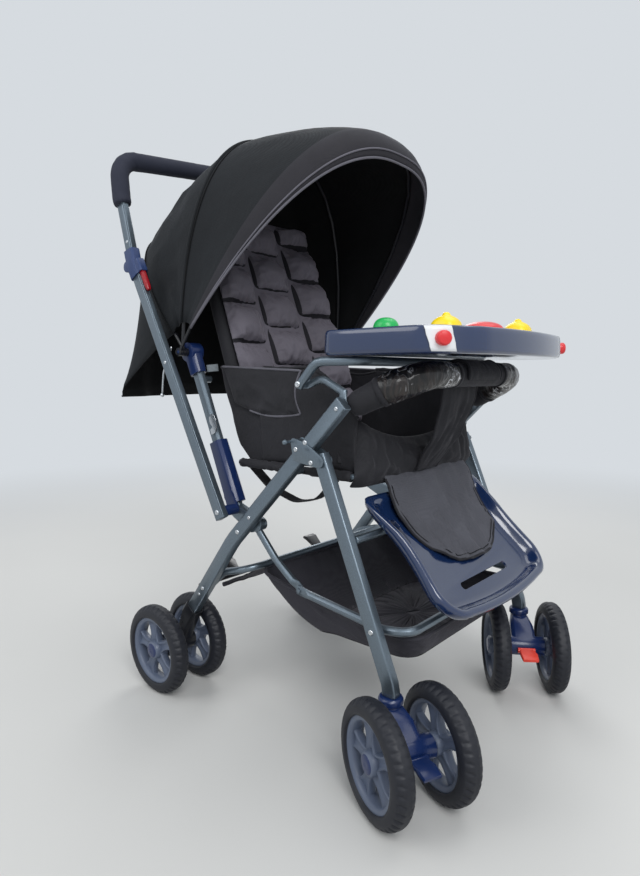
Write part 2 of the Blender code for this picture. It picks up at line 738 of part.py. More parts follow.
def upright_sleeve(side):
    sign = SIDES[side]
    low = along(UPRIGHT_FOOT, UPRIGHT_AXIS, 0.0235)
    high = along(UPRIGHT_FOOT, UPRIGHT_AXIS, 0.0235 + SLEEVE_LENGTH)
    outer = box_section(UPRIGHT_THICKNESS + 2 * SLEEVE_WALL, UPRIGHT_DEPTH + 2 * SLEEVE_WALL + 0.004, 0.005)
    body = sweep([at_side(low, side, UPRIGHT_PLANE), at_side(high, side, UPRIGHT_PLANE)], outer,
                 scales=[(1, 1), (1, 0.86)])
    arm = hull_outline([(HANDLE_PIVOT, HANDLE_BOSS_RADIUS), (along(low, UPRIGHT_AXIS, 0.014), 0.013)])
    web = side_plate(arm, UPRIGHT_OUTER + FIT_GAP, UPRIGHT_OUTER + SLEEVE_WALL, side)
    reach = HANDLE_INNER - FIT_GAP
    base = UPRIGHT_OUTER + SLEEVE_WALL / 2
    boss = revolve([(base, 0), (base, HANDLE_BOSS_RADIUS), (reach, HANDLE_BOSS_RADIUS), (reach, 0)], 16,
                   Vector((0, *HANDLE_PIVOT)), Vector((sign, 0, 0)))
    room = sweep([at_side(along(low, UPRIGHT_AXIS, -0.06), side, UPRIGHT_PLANE),
                  at_side(along(high, UPRIGHT_AXIS, 0.02), side, UPRIGHT_PLANE)],
                 box_section(UPRIGHT_THICKNESS + 2 * FIT_GAP, UPRIGHT_DEPTH + 2 * FIT_GAP, 0.005))
    return finish(f"upright_sleeve_{side}", cut(union(body, web, boss), room), "navy")


def canopy_clip(side):
    sign = SIDES[side]
    low = along(CANOPY_HUB, UPRIGHT_AXIS, -CLIP_LENGTH)
    outer = box_section(UPRIGHT_THICKNESS + 2 * CLIP_WALL, UPRIGHT_DEPTH + 2 * CLIP_WALL, 0.006)
    body = sweep([at_side(low, side, UPRIGHT_PLANE), at_side(CANOPY_HUB, side, UPRIGHT_PLANE)], outer,
                 scales=[(1, 0.9), (1, 1)])
    head = revolve([(UPRIGHT_INNER - CLIP_WALL, 0), (UPRIGHT_INNER - CLIP_WALL, CLIP_HEAD_RADIUS),
                    (UPRIGHT_OUTER + CLIP_WALL, CLIP_HEAD_RADIUS), (UPRIGHT_OUTER + CLIP_WALL, 0)],
                   18, Vector((0, *CANOPY_HUB)), Vector((sign, 0, 0)))
    pin_end = HOOP_HALF_WIDTH + HOOP_RADIUS
    pin = revolve([(UPRIGHT_OUTER, 0), (UPRIGHT_OUTER, 0.003), (pin_end, 0.003), (pin_end, 0)],
                  10, Vector((0, *CANOPY_HUB)), Vector((sign, 0, 0)))
    room = sweep([at_side(along(low, UPRIGHT_AXIS, -0.05), side, UPRIGHT_PLANE),
                  at_side(along(CANOPY_HUB, UPRIGHT_AXIS, -0.004 + FIT_GAP), side, UPRIGHT_PLANE)],
                 box_section(UPRIGHT_THICKNESS + 2 * FIT_GAP, UPRIGHT_DEPTH + 2 * FIT_GAP, 0.005))
    return finish(f"canopy_clip_{side}", cut(union(body, head, pin), room), "navy")


# Push handle

def handle_leg(side):
    low = along(HANDLE_PIVOT, HANDLE_AXIS, -0.012)
    path = [at_side(low, side, HANDLE_PLANE), at_side(HANDLE_LEG_TOP, side, HANDLE_PLANE)]
    return finish(f"handle_leg_{side}", sweep(path, box_section(HANDLE_THICKNESS, HANDLE_DEPTH)), "frame")


def handle_bar_path(start_gap):
    upper_axis = direction(HANDLE_LEG_TOP, HANDLE_BAR_BEND)
    start = along(HANDLE_LEG_TOP, upper_axis, start_gap)
    right = [at_side(start, "right", HANDLE_PLANE), at_side(HANDLE_BAR_BEND, "right", HANDLE_PLANE),
             at_side(HANDLE_BAR_TOP, "right", HANDLE_PLANE - 0.004)]
    left = [Vector((-point.x, point.y, point.z)) for point in reversed(right)]
    middle = Vector((0, HANDLE_BAR_TOP[0] + 0.006, HANDLE_BAR_TOP[1] + HANDLE_BAR_ARCH))
    return rounded_path([*right, middle, *left], HANDLE_CORNER_RADIUS, 19.0)


def handle_bar():
    section = box_section(HANDLE_THICKNESS, HANDLE_BAR_DEPTH)
    return finish("handle_bar", sweep(handle_bar_path(0.0035), section), "frame")


def handle_grip():
    path = handle_bar_path(0.0)
    first = next(i for i, p in enumerate(path) if p.z > HANDLE_BAR_BEND[1] - 0.012)
    inner = path[first:len(path) - first]
    hole = soft_box_section(HANDLE_THICKNESS + 2 * FIT_GAP, HANDLE_BAR_DEPTH + 2 * FIT_GAP, 0.002)
    return finish("handle_grip", sweep(inner, round_section(GRIP_RADIUS, 12), hole=hole), "foam")


def trigger_place():
    # The trigger lies against the leg's front edge, just under the collar.
    front = Vector((HANDLE_AXIS[1] * -1, HANDLE_AXIS[0]))
    start = along(HANDLE_LEG_TOP, HANDLE_AXIS, -COLLAR_LENGTH / 2 + 0.012)
    offset = HANDLE_DEPTH / 2 + RUN_GAP + TRIGGER_DEPTH / 2
    return along(start, front, offset)


def collar(side):
    upper_axis = direction(HANDLE_LEG_TOP, HANDLE_BAR_BEND)
    low = along(HANDLE_LEG_TOP, HANDLE_AXIS, -COLLAR_LENGTH / 2)
    high = along(HANDLE_LEG_TOP, upper_axis, COLLAR_LENGTH / 2)
    path = [at_side(point, side, HANDLE_PLANE) for point in (low, HANDLE_LEG_TOP, high)]
    wall = 2 * COLLAR_WALL
    outer = sweep(path, box_section(HANDLE_THICKNESS + wall, HANDLE_DEPTH + wall, 0.004))
    bulge_at = along(along(HANDLE_LEG_TOP, HANDLE_AXIS, 0.002), (HANDLE_AXIS[1], -HANDLE_AXIS[0]), 0.012)
    bulge = side_plate(hull_outline([(bulge_at, 0.010)], 7), HANDLE_PLANE - 0.009, HANDLE_PLANE + 0.009, side)
    trigger = trigger_place()
    pocket_low = along(trigger, HANDLE_AXIS, -0.012)
    pocket_top = along(trigger, HANDLE_AXIS, TRIGGER_TRAVEL + 0.001)
    lobe_top = along(pocket_top, HANDLE_AXIS, 0.004)
    lobe = sweep([at_side(pocket_low, side, HANDLE_PLANE), at_side(lobe_top, side, HANDLE_PLANE)],
                 box_section(TRIGGER_WIDTH + 0.007, TRIGGER_DEPTH + 0.006, 0.003))
    low_room = sweep([at_side(along(low, HANDLE_AXIS, -0.01), side, HANDLE_PLANE),
                      at_side(HANDLE_LEG_TOP, side, HANDLE_PLANE),
                      at_side(along(high, upper_axis, 0.01), side, HANDLE_PLANE)],
                     box_section(HANDLE_THICKNESS + 2 * FIT_GAP, HANDLE_DEPTH + 2 * FIT_GAP))
    pocket = sweep([at_side(along(trigger, HANDLE_AXIS, -0.03), side, HANDLE_PLANE),
                    at_side(pocket_top, side, HANDLE_PLANE)],
                   box_section(TRIGGER_WIDTH + 2 * RUN_GAP, TRIGGER_DEPTH + 2 * RUN_GAP, 0.001))
    body = cut(union(outer, bulge, lobe), low_room, pocket)
    return finish(f"handle_collar_{side}", body, "blue")


def trigger(side):
    top = trigger_place()
    end = along(top, HANDLE_AXIS, -TRIGGER_LENGTH)
    path = [at_side(end, side, HANDLE_PLANE), at_side(along(end, HANDLE_AXIS, 0.008), side, HANDLE_PLANE),
            at_side(top, side, HANDLE_PLANE)]
    body = sweep(path, box_section(TRIGGER_WIDTH, TRIGGER_DEPTH, 0.002), scales=[(0.7, 0.7), (1, 1), (1, 1)])
    return finish(f"handle_trigger_{side}", body, "dark_red")


# Canopy

CANOPY_SHARES = [0.03 + 0.94 * index / 14 for index in range(15)]


def hoop_point(shape, share, grow=0.0):
    # share runs from 0 at the right hub to 1 at the left hub.
    angle = math.pi * share
    wide = shape["half_width"] + grow
    reach = shape["reach"] + grow
    cosine, sine = math.cos(angle), math.sin(angle)
    x = -wide * math.copysign(abs(cosine) ** (2 / CANOPY_SHAPE), cosine)
    out = reach * abs(sine) ** (2 / CANOPY_SHAPE)
    lean = math.radians(shape["lean"])
    return Vector((x, CANOPY_HUB[0] - out * math.sin(lean), CANOPY_HUB[1] + out * math.cos(lean)))


def hoop(name):
    shape = HOOPS[name]
    ring_radius = 0.0075
    lean = math.radians(shape["lean"])
    rise = Vector((0, -math.sin(lean), math.cos(lean)))
    hub = Vector((0, *CANOPY_HUB))
    path = [hoop_point(shape, share) for share in CANOPY_SHARES]
    for sign, end in ((-1, 0), (1, len(path) + 1)):
        path.insert(end, hub + rise * 0.005 + Vector((sign * shape["half_width"], 0, 0)))
    wire = sweep(path, round_section(HOOP_RADIUS, 6), Vector((0, math.cos(lean), math.sin(lean))))
    solids = []
    for sign in SIDES.values():
        profile = [(-HOOP_RADIUS * 0.95, 0.003 + FIT_GAP), (-HOOP_RADIUS * 0.95, ring_radius),
                   (HOOP_RADIUS * 0.95, ring_radius), (HOOP_RADIUS * 0.95, 0.003 + FIT_GAP)]
        centre = hub + Vector((sign * shape["half_width"], 0, 0))
        solids.append(revolve(profile, 12, centre, Vector((1, 0, 0))))
    return finish(name, union(wire, *solids), "navy")


def canopy_cover():
    # One curved sheet over the three hoops, with a drop that hangs behind.
    rows = []
    stations = [("canopy_hoop_front", "canopy_hoop_middle", 4), ("canopy_hoop_middle", "canopy_hoop_rear", 4)]
    front = dict(HOOPS["canopy_hoop_front"])
    lip = {"lean": front["lean"] + 5.0, "reach": front["reach"] + 0.004, "half_width": front["half_width"]}
    shapes = [lip]
    for start, end, count in stations:
        for index in range(count):
            share = index / count
            a, b = HOOPS[start], HOOPS[end]
            shape = {key: a[key] + (b[key] - a[key]) * share for key in a}
            sag = math.sin(math.pi * share)
            shape["reach"] -= 0.010 * sag
            shapes.append(shape)
    shapes.append(dict(HOOPS["canopy_hoop_rear"]))
    shapes.append(dict(HOOPS["canopy_hoop_rear"], lean=HOOPS["canopy_hoop_rear"]["lean"] - 2.0))
    clear = HOOP_RADIUS + 2 * FIT_GAP
    for shape in shapes:
        row = []
        for share in CANOPY_SHARES:
            inner = hoop_point(shape, share, clear)
            outer = hoop_point(shape, share, clear + CANOPY_CLOTH)
            row.append((inner, outer))
        rows.append(row)
    rear = rows[-1]
    for depth in (0.45, 1.0):
        row = []
        for inner, outer in rear:
            fall = []
            for point, thick in ((inner, 0.0), (outer, CANOPY_CLOTH)):
                wave = 0.004 * math.sin(point.x * 42)
                hem_y = CANOPY_HEM_Y - 0.16 * abs(point.x) + thick + wave * depth
                y = point.y + (hem_y - point.y) * min(1.0, depth * 1.25)
                z = point.z + (CANOPY_HEM_Z - point.z) * depth
                fall.append(Vector((point.x, y, z)))
            row.append(tuple(fall))
        rows.append(row)
    vertices, index_of = [], {}
    for i, row in enumerate(rows):
        for j, pair in enumerate(row):
            for k, point in enumerate(pair):
                index_of[i, j, k] = len(vertices)
                vertices.append(point)
    faces = []
    high, wide = len(rows) - 1, len(CANOPY_SHARES) - 1
    for i in range(high):
        for j in range(wide):
            quad = [(i, j), (i + 1, j), (i + 1, j + 1), (i, j + 1)]
            faces.append([index_of[a, b, 1] for a, b in quad])
            faces.append([index_of[a, b, 0] for a, b in reversed(quad)])
    for j in range(wide):
        for i in (0, high):
            faces.append([index_of[i, j, 0], index_of[i, j + 1, 0], index_of[i, j + 1, 1], index_of[i, j, 1]])
    for i in range(high):
        for j in (0, wide):
            faces.append([index_of[i, j, 0], index_of[i + 1, j, 0], index_of[i + 1, j, 1], index_of[i, j, 1]])
    return finish("canopy_cover", outward(mesh_from(vertices, faces)), "cloth")


# Seat and backrest

def seat_frame():
    share = (SEAT_FRAME_Z - REAR_LEG_TOP[1]) / (REAR_LEG_BEND[1] - REAR_LEG_TOP[1])
    seat_y = between(REAR_LEG_TOP, REAR_LEG_BEND, share)[0]
    corners = [Vector((-SEAT_RAIL_X, RECLINE_PIVOT[0] + 0.010, SEAT_FRAME_Z)),
               Vector((-SEAT_RAIL_X, SEAT_FRONT_Y, SEAT_FRAME_Z))]
    corners += [Vector((-point.x, point.y, point.z)) for point in reversed(corners)]
    rail = sweep(rounded_path(corners, 0.0065), round_section(SEAT_TUBE_RADIUS), Vector((0, 0, 1)))
    stud_end = LEG_INNER - FIT_GAP
    profile = [(SEAT_RAIL_X, 0), (SEAT_RAIL_X, 0.0045), (stud_end, 0.0045), (stud_end, 0)]
    studs = []
    for sign in SIDES.values():
        studs.append(revolve(profile, 8, Vector((0, seat_y, SEAT_FRAME_Z)), Vector((sign, 0, 0))))
    return finish("seat_frame", union(rail, *studs), "frame")


def seat_pad():
    # A sling seat: floor, front roll and two standing sides, open above and behind.
    half = SEAT_HALF_WIDTH
    thick = SEAT_CLOTH
    rear_y, front_y = RECLINE_PIVOT[0] - 0.036, SEAT_FRONT_Y + SEAT_TUBE_RADIUS + FIT_GAP
    floor = SEAT_FLOOR_Z
    stations = []
    count = 10
    for index in range(count + 1):
        share = index / count
        y = front_y + (rear_y - front_y) * share
        crown = 0.012 * math.sin(math.pi * share)
        roll = -0.014 * max(0.0, 1 - share * 6) ** 2
        side_top = SEAT_SIDE_TOP_Z - 0.075 * max(0.0, 1 - share * 2.2) ** 1.5
        stations.append((y, floor + crown + roll, side_top))
    rows = []
    for y, base, side_top in stations:
        bottom = floor - 0.018
        sag = 0.010 * min(1.0, (y - front_y) / 0.06)    # none in front, over the footrest's top edge
        waist = (side_top + bottom) / 2 + 0.02
        inside = half - thick
        outer = [(-half, side_top), (-half - 0.001, waist), (-half + 0.004, bottom + 0.014),
                 (-half + 0.026, bottom), (0, bottom - sag), (half - 0.026, bottom),
                 (half - 0.004, bottom + 0.014), (half + 0.001, waist), (half, side_top)]
        inner = [(inside, side_top), (inside - 0.004, base + 0.030), (inside - 0.026, base + 0.002),
                 (0.058, base + 0.010), (0.050, base + 0.003), (0, base + 0.012), (-0.050, base + 0.003),
                 (-0.058, base + 0.010), (-inside + 0.026, base + 0.002),
                 (-inside + 0.004, base + 0.030), (-inside, side_top)]
        rows.append([Vector((x, y, z)) for x, z in outer + inner])
    vertices = [point for row in rows for point in row]
    width = len(rows[0])
    faces = []
    for i in range(len(rows) - 1):
        for j in range(width):
            after = (j + 1) % width
            faces.append((i * width + j, i * width + after, (i + 1) * width + after, (i + 1) * width + j))
    faces.append(tuple(range(width)))
    faces.append(tuple(reversed(range(width * (len(rows) - 1), width * len(rows)))))
    return finish("seat_pad", outward(mesh_from(vertices, faces)), "cloth")


def backrest_frame_of(distance, depth, x):
    # distance runs up the backrest from its hinge, depth stands off its front.
    lean = math.radians(BACKREST_LEAN)
    rise = Vector((0, math.sin(lean), math.cos(lean)))
    front = Vector((0, -math.cos(lean), math.sin(lean)))
    return Vector((x, *RECLINE_PIVOT)) + rise * distance + front * depth


def backrest_frame():
    half = BACKREST_HALF_WIDTH - 0.004
    reach = SEAT_RAIL_X - SEAT_TUBE_RADIUS * math.cos(math.pi / 8) - FIT_GAP
    corners = [backrest_frame_of(0.0, 0, -reach), backrest_frame_of(0.0, 0, -half),
               backrest_frame_of(BACKREST_LENGTH - 0.014, 0, -half)]
    corners += [Vector((-point.x, point.y, point.z)) for point in reversed(corners)]
    path = rounded_path(corners, 0.018)
    return finish("backrest_frame", sweep(path, round_section(BACKREST_TUBE_RADIUS, 8)), "frame")


def backrest_pad():
    # Quilted pad: crowned cells between sewn channels, drawn in at its sides.
    columns, rows_of_cells = 3, 6
    per_cell = 3
    across = columns * per_cell
    up = rows_of_cells * per_cell
    back = BACKREST_TUBE_RADIUS + FIT_GAP
    low, high = 0.012, BACKREST_LENGTH
    front_grid, back_grid = [], []
    for i in range(up + 1):
        v = i / up
        distance = low + (high - low) * v
        front_row, back_row = [], []
        narrow = 1.0 - 0.10 * v ** 3
        for j in range(across + 1):
            u = j / across
            x = (u - 0.5) * 2 * BACKREST_HALF_WIDTH * narrow
            edge = min(1.0, 6 * u, 6 * (1 - u), 9 * v + 0.1, 9 * (1 - v) + 0.1)
            cell = abs(math.sin(math.pi * u * columns)) * abs(math.sin(math.pi * v * rows_of_cells))
            puff = 0.013 + (BACKREST_PAD_DEPTH - 0.019) * math.sqrt(cell) + 0.006 * edge
            wing = 0.018 * (2 * abs(u - 0.5)) ** 4
            front_row.append(backrest_frame_of(distance, back + puff * (0.55 + 0.45 * edge) + wing, x))
            back_row.append(backrest_frame_of(distance, back + 0.6 * wing, x))
        front_grid.append(front_row)
        back_grid.append(back_row)
    vertices = [p for row in front_grid for p in row] + [p for row in back_grid for p in row]
    width = across + 1
    shift = width * (up + 1)
    faces = []
    for i in range(up):
        for j in range(across):
            a, b = i * width + j, i * width + j + 1
            c, d = (i + 1) * width + j + 1, (i + 1) * width + j
            faces.append((a, b, c, d))
            faces.append((d + shift, c + shift, b + shift, a + shift))
    for j in range(across):
        for a in (j, up * width + j):
            faces.append((a, a + 1, a + 1 + shift, a + shift))
    for i in range(up):
        for a in (i * width, i * width + across):
            faces.append((a, a + width, a + width + shift, a + shift))
    return finish("backrest_pad", outward(mesh_from(vertices, faces)), "quilt", 60)


# Tray, bumper and toys

def tray_link(side):
    radius = CROSSBAR_RADIUS * 0.9
    plane = LEG_INNER - FIT_GAP - radius
    foot = along(REAR_LEG_TOP, REAR_LEG_AXIS, 0.008)
    inner = LEG_INNER - FIT_GAP - 0.0013
    knee = (TRAY_LINK_TOP[0] - 0.030, TRAY_LINK_TOP[1] + 0.009)
    corners = [at_side((REAR_LEG_TOP[0] + 0.012, REAR_LEG_TOP[1] + 0.014), side, plane),
               at_side(knee, side, plane), at_side(along(TRAY_LINK_TOP, (-1, 0.2), 0.013), side, plane)]
    run = rounded_path(corners, 0.022)
    path = [at_side(foot, side, inner), at_side(along(foot, (0.5, 0.6), 0.010), side, inner), *run]
    thin = 0.0026 / (2 * radius)
    scales = [(thin, 1.3), (thin, 1.3)] + [(1, 1)] * len(run)
    for distance in (-0.006, 0.006):
        path.append(at_side(along(TRAY_LINK_TOP, (1, 0), distance), side, inner))
        scales.append((thin, 1.2))
    return finish(f"tray_link_{side}", sweep(path, round_section(radius), scales=scales), "frame")


def tray_tube():
    plane = LEG_PLANE + 0.001
    underside = TRAY_BOTTOM_Z - TRAY_TUBE_RADIUS - FIT_GAP
    right = [at_side(along(TRAY_LINK_TOP, (0.3, -0.6), 0.008), "right", plane),
             at_side(TRAY_LINK_TOP, "right", plane),
             at_side((TRAY_LINK_TOP[0] - 0.030, underside), "right", plane - 0.002),
             Vector((-(plane - 0.020), TRAY_REAR_Y - 0.060, underside))]
    left = [Vector((-point.x, point.y, point.z)) for point in reversed(right)]
    path = rounded_path([*right, *left], 0.022)
    boss_start = LEG_INNER + RUN_GAP
    profile = [(boss_start, 0), (boss_start, 0.005), (plane, 0.005), (plane, 0)]
    bosses = []
    for sign in SIDES.values():
        bosses.append(revolve(profile, 12, Vector((0, *TRAY_LINK_TOP)), Vector((sign, 0, 0))))
    return finish("tray_tube", union(sweep(path, round_section(TRAY_TUBE_RADIUS)), *bosses), "frame")


def tray_outline(shrink=0.0):
    half = TRAY_HALF_WIDTH - shrink
    rear, front = TRAY_REAR_Y - shrink, TRAY_FRONT_Y + shrink
    points = []
    rear_corner, front_corner = 0.024, 0.046
    rear_corner, front_corner = max(rear_corner - shrink, 0.004), max(front_corner - shrink, 0.004)
    bite = 0.030
    for sign in (1, -1):
        run = []
        for step in range(4):
            angle = math.radians(90 * step / 3)
            run.append((sign * (half - rear_corner + rear_corner * math.sin(angle)),
                        rear - rear_corner + rear_corner * math.cos(angle)))
        for step in range(5):
            angle = math.radians(80 * step / 4)
            run.append((sign * (half - front_corner + front_corner * math.cos(angle)),
                        front + front_corner - front_corner * math.sin(angle)))
        for x in (0.11, 0.055):
            bulge = TRAY_FRONT_BULGE * (1 - (x / half) ** 2)
            run.append((sign * x, front - bulge * 0.9))
        points.append(run)
    nose = [(0.0, front - TRAY_FRONT_BULGE)]
    rear_dip = [(x, rear - bite * math.cos(math.pi * x / (2 * (half - rear_corner))) ** 2)
                for x in (-0.12, -0.07, 0.0, 0.07, 0.12)]
    return points[0] + nose + list(reversed(points[1])) + rear_dip


def loft(outlines_with_height, close_low=True, close_high=True):
    rings = outlines_with_height
    count = len(rings[0][0])
    vertices = [Vector((x, y, z)) for outline, z in rings for x, y in outline]
    faces = []
    for ring in range(len(rings) - 1):
        for index in range(count):
            after = (index + 1) % count
            a, b = ring * count + index, ring * count + after
            faces.append((a, b, b + count, a + count))
    if close_low:
        faces.append(tuple(range(count)))
    if close_high:
        faces.append(tuple(range(count * (len(rings) - 1), count * len(rings))))
    return outward(mesh_from(vertices, faces))


def tray_shell():
    base, top = TRAY_BOTTOM_Z, TRAY_BOTTOM_Z + TRAY_RIM_HEIGHT
    levels = [(0.010, base), (0.002, base + 0.001), (0.0, base + 0.006), (0.001, top - 0.005), (0.004, top),
              (0.008, top), (0.010, top - 0.010), (0.0105, base + 0.004)]
    rings = [(tray_outline(shrink), height) for shrink, height in levels]
    shell = loft(rings)
    pockets = []
    for side in SIDES:
        place, axis = corner_button_place(side)
        pockets.append(disc(place, axis, 0.0098 + RUN_GAP, -0.0052, 0.02, 14))
    return finish("tray_shell", cut(shell, *pockets), "navy")


def corner_button_place(side):
    sign = SIDES[side]
    axis = Vector((sign * 0.62, -0.78, 0)).normalized()
    corner = Vector((sign * (TRAY_HALF_WIDTH - 0.0175), TRAY_FRONT_Y + 0.0095,
                     TRAY_BOTTOM_Z + TRAY_RIM_HEIGHT * 0.52))
    return corner, axis


def corner_button(side):
    place, axis = corner_button_place(side)
    profile = [(-0.0042, 0), (-0.0042, 0.0098), (0.006, 0.0098), (0.009, 0.0080), (0.0095, 0)]
    body = revolve(profile, 14, place + axis * (TOY_TRAVEL + 0.0005), axis)
    return finish(f"corner_button_{side}", body, "red")


def tray_top():
    base = TRAY_BOTTOM_Z + 0.004 + FIT_GAP
    top = TRAY_BOTTOM_Z + TRAY_RIM_HEIGHT - 0.004
    rings = [(tray_outline(0.0115), base), (tray_outline(0.0115), top - 0.006), (tray_outline(0.0115), top),
             (tray_outline(0.016), top + 0.003), (tray_outline(0.022), top + 0.003),
             (tray_outline(0.026), top)]
    slab = loft(rings)
    holes = []
    for name, toy in TOYS.items():
        x, y = toy["place"]
        holes.append(disc((x, y, 0), (0, 0, 1), toy["radius"] + RUN_GAP, top - 0.012, top + 0.03, 16))
    for x, y, radius in CUP_WELLS:
        holes.append(disc((x, y, 0), (0, 0, 1), radius, top - 0.016, top + 0.03, 24))
    slab = cut(slab, *holes)
    figures = []
    for x, y in YELLOW_FIGURES:
        profile = [(top - 0.004, 0), (top - 0.004, 0.017), (top + 0.008, 0.016), (top + 0.018, 0.012),
                   (top + 0.026, 0.0065), (top + 0.033, 0.005), (top + 0.036, 0)]
        figures.append(revolve(profile, 12, Vector((x, y, 0)), Vector((0, 0, 1))))
    return finish("tray_top", union(slab, *figures), "white")


TRAY_TOP_Z = TRAY_BOTTOM_Z + TRAY_RIM_HEIGHT - 0.004
TOYS = {
    "green_button": {"place": (-0.150, -0.192), "radius": 0.018, "height": 0.030, "colour": "green"},
    "red_button": {"place": (0.020, -0.256), "radius": 0.024, "height": 0.028, "colour": "red"},
}
YELLOW_FIGURES = ((-0.070, -0.243), (0.105, -0.276))
CUP_WELLS = ((0.150, -0.205, 0.032),)


def toy_button(name):
    toy = TOYS[name]
    x, y = toy["place"]
    radius, height = toy["radius"], toy["height"]
    low = TRAY_TOP_Z - 0.012 + TOY_TRAVEL + RUN_GAP
    top = TRAY_TOP_Z
    profile = [(low, 0), (low, radius), (top + 0.002, radius), (top + height * 0.55, radius * 0.86),
               (top + height * 0.88, radius * 0.5), (top + height, 0)]
    return finish(name, revolve(profile, 16, Vector((x, y, 0)), Vector((0, 0, 1))), toy["colour"])


def bumper():
    half = LEG_INNER - FIT_GAP - GUSSET_THICKNESS - BUMPER_RADIUS * 0.78
    halfway = between(REAR_LEG_TOP, (BUMPER_FRONT_Y, BUMPER_FRONT_Z), 0.5)
    right = [Vector((-half, REAR_LEG_TOP[0] + 0.006, REAR_LEG_TOP[1] - 0.006)),
             Vector((-half + 0.017, *halfway)), Vector((-half + 0.050, BUMPER_FRONT_Y, BUMPER_FRONT_Z))]
    left = [Vector((-point.x, point.y, point.z)) for point in reversed(right)]
    path = rounded_path([*right, *left], 0.05)
    scales = [(0.80, 0.80)] + [(1, 1)] * (len(path) - 2) + [(0.80, 0.80)]
    return finish("bumper_bar", sweep(path, round_section(BUMPER_RADIUS, 12), scales=scales), "cloth")


def crotch_panel():
    thick = 0.005
    top_y = BUMPER_FRONT_Y + thick / 2
    top_z = BUMPER_FRONT_Z - BUMPER_RADIUS * math.cos(math.pi / 12) - FIT_GAP
    low_y, low_z = SEAT_FRONT_Y - SEAT_TUBE_RADIUS - FIT_GAP, SEAT_FRAME_Z
    count = 7
    rows = []
    for index in range(count + 1):
        share = index / count
        y = top_y + (low_y - top_y) * share - 0.016 * math.sin(math.pi * share)
        z = top_z + (low_z - top_z) * share
        half = 0.048 - 0.022 * math.sin(math.pi * min(1.0, share * 1.1)) + 0.018 * share ** 3
        row = []
        for j in range(7):
            x = (j / 6 - 0.5) * 2 * half
            fold = 0.006 * math.cos(math.pi * 2 * (j / 6 - 0.5)) * math.sin(math.pi * share)
            row.append((Vector((x, y + fold, z)), Vector((x, y + fold - thick, z))))
        rows.append(row)
    vertices = [p for row in rows for pair in row for p in pair]
    width = 14
    faces = []
    for i in range(count):
        for j in range(6):
            a = i * width + 2 * j
            faces.append((a, a + 2, a + 2 + width, a + width))
            faces.append((a + 1, a + 1 + width, a + 3 + width, a + 3))
    for j in range(6):
        for a in (2 * j, count * width + 2 * j):
            faces.append((a, a + 1, a + 3, a + 2))
    for i in range(count):
        for a in (i * width, i * width + 12):
            faces.append((a, a + width, a + width + 1, a + 1))
    return finish("crotch_panel", outward(mesh_from(vertices, faces)), "cloth")


# Footrest and leg flap

FOOTREST_AXIS = direction(FOOTREST_TOP, FOOTREST_BOTTOM)
FOOTREST_FACE = Vector((FOOTREST_AXIS[1], -FOOTREST_AXIS[0]))
if FOOTREST_FACE[1] < 0:
    FOOTREST_FACE = -FOOTREST_FACE
FOOTREST_LENGTH = math.dist(FOOTREST_TOP, FOOTREST_BOTTOM)


def footrest_point(x, down, lift):
    y = FOOTREST_TOP[0] + FOOTREST_AXIS[0] * down + FOOTREST_FACE[0] * lift
    z = FOOTREST_TOP[1] + FOOTREST_AXIS[1] * down + FOOTREST_FACE[1] * lift
    return Vector((x, y, z))


def footrest_outline(shrink):
    half = FOOTREST_HALF_WIDTH - shrink
    top, low = shrink, FOOTREST_LENGTH - shrink
    corner = max(0.050 - shrink, 0.01)
    waist = 0.010
    points = []
    for sign in (1, -1):
        run = [(sign * (half - 0.012), top), (sign * half, top + 0.012)]
        run.append((sign * (half - waist), (top + low) * 0.45))
        for step in range(5):
            angle = math.radians(90 * step / 4)
            across, along_side = corner * math.cos(angle), corner * math.sin(angle)
            run.append((sign * (half - corner + across), low - corner + along_side))
        points.append(run)
    nose = [(0.05, low + 0.006), (0.0, low + 0.008), (-0.05, low + 0.006)]
    return points[0] + nose + list(reversed(points[1]))


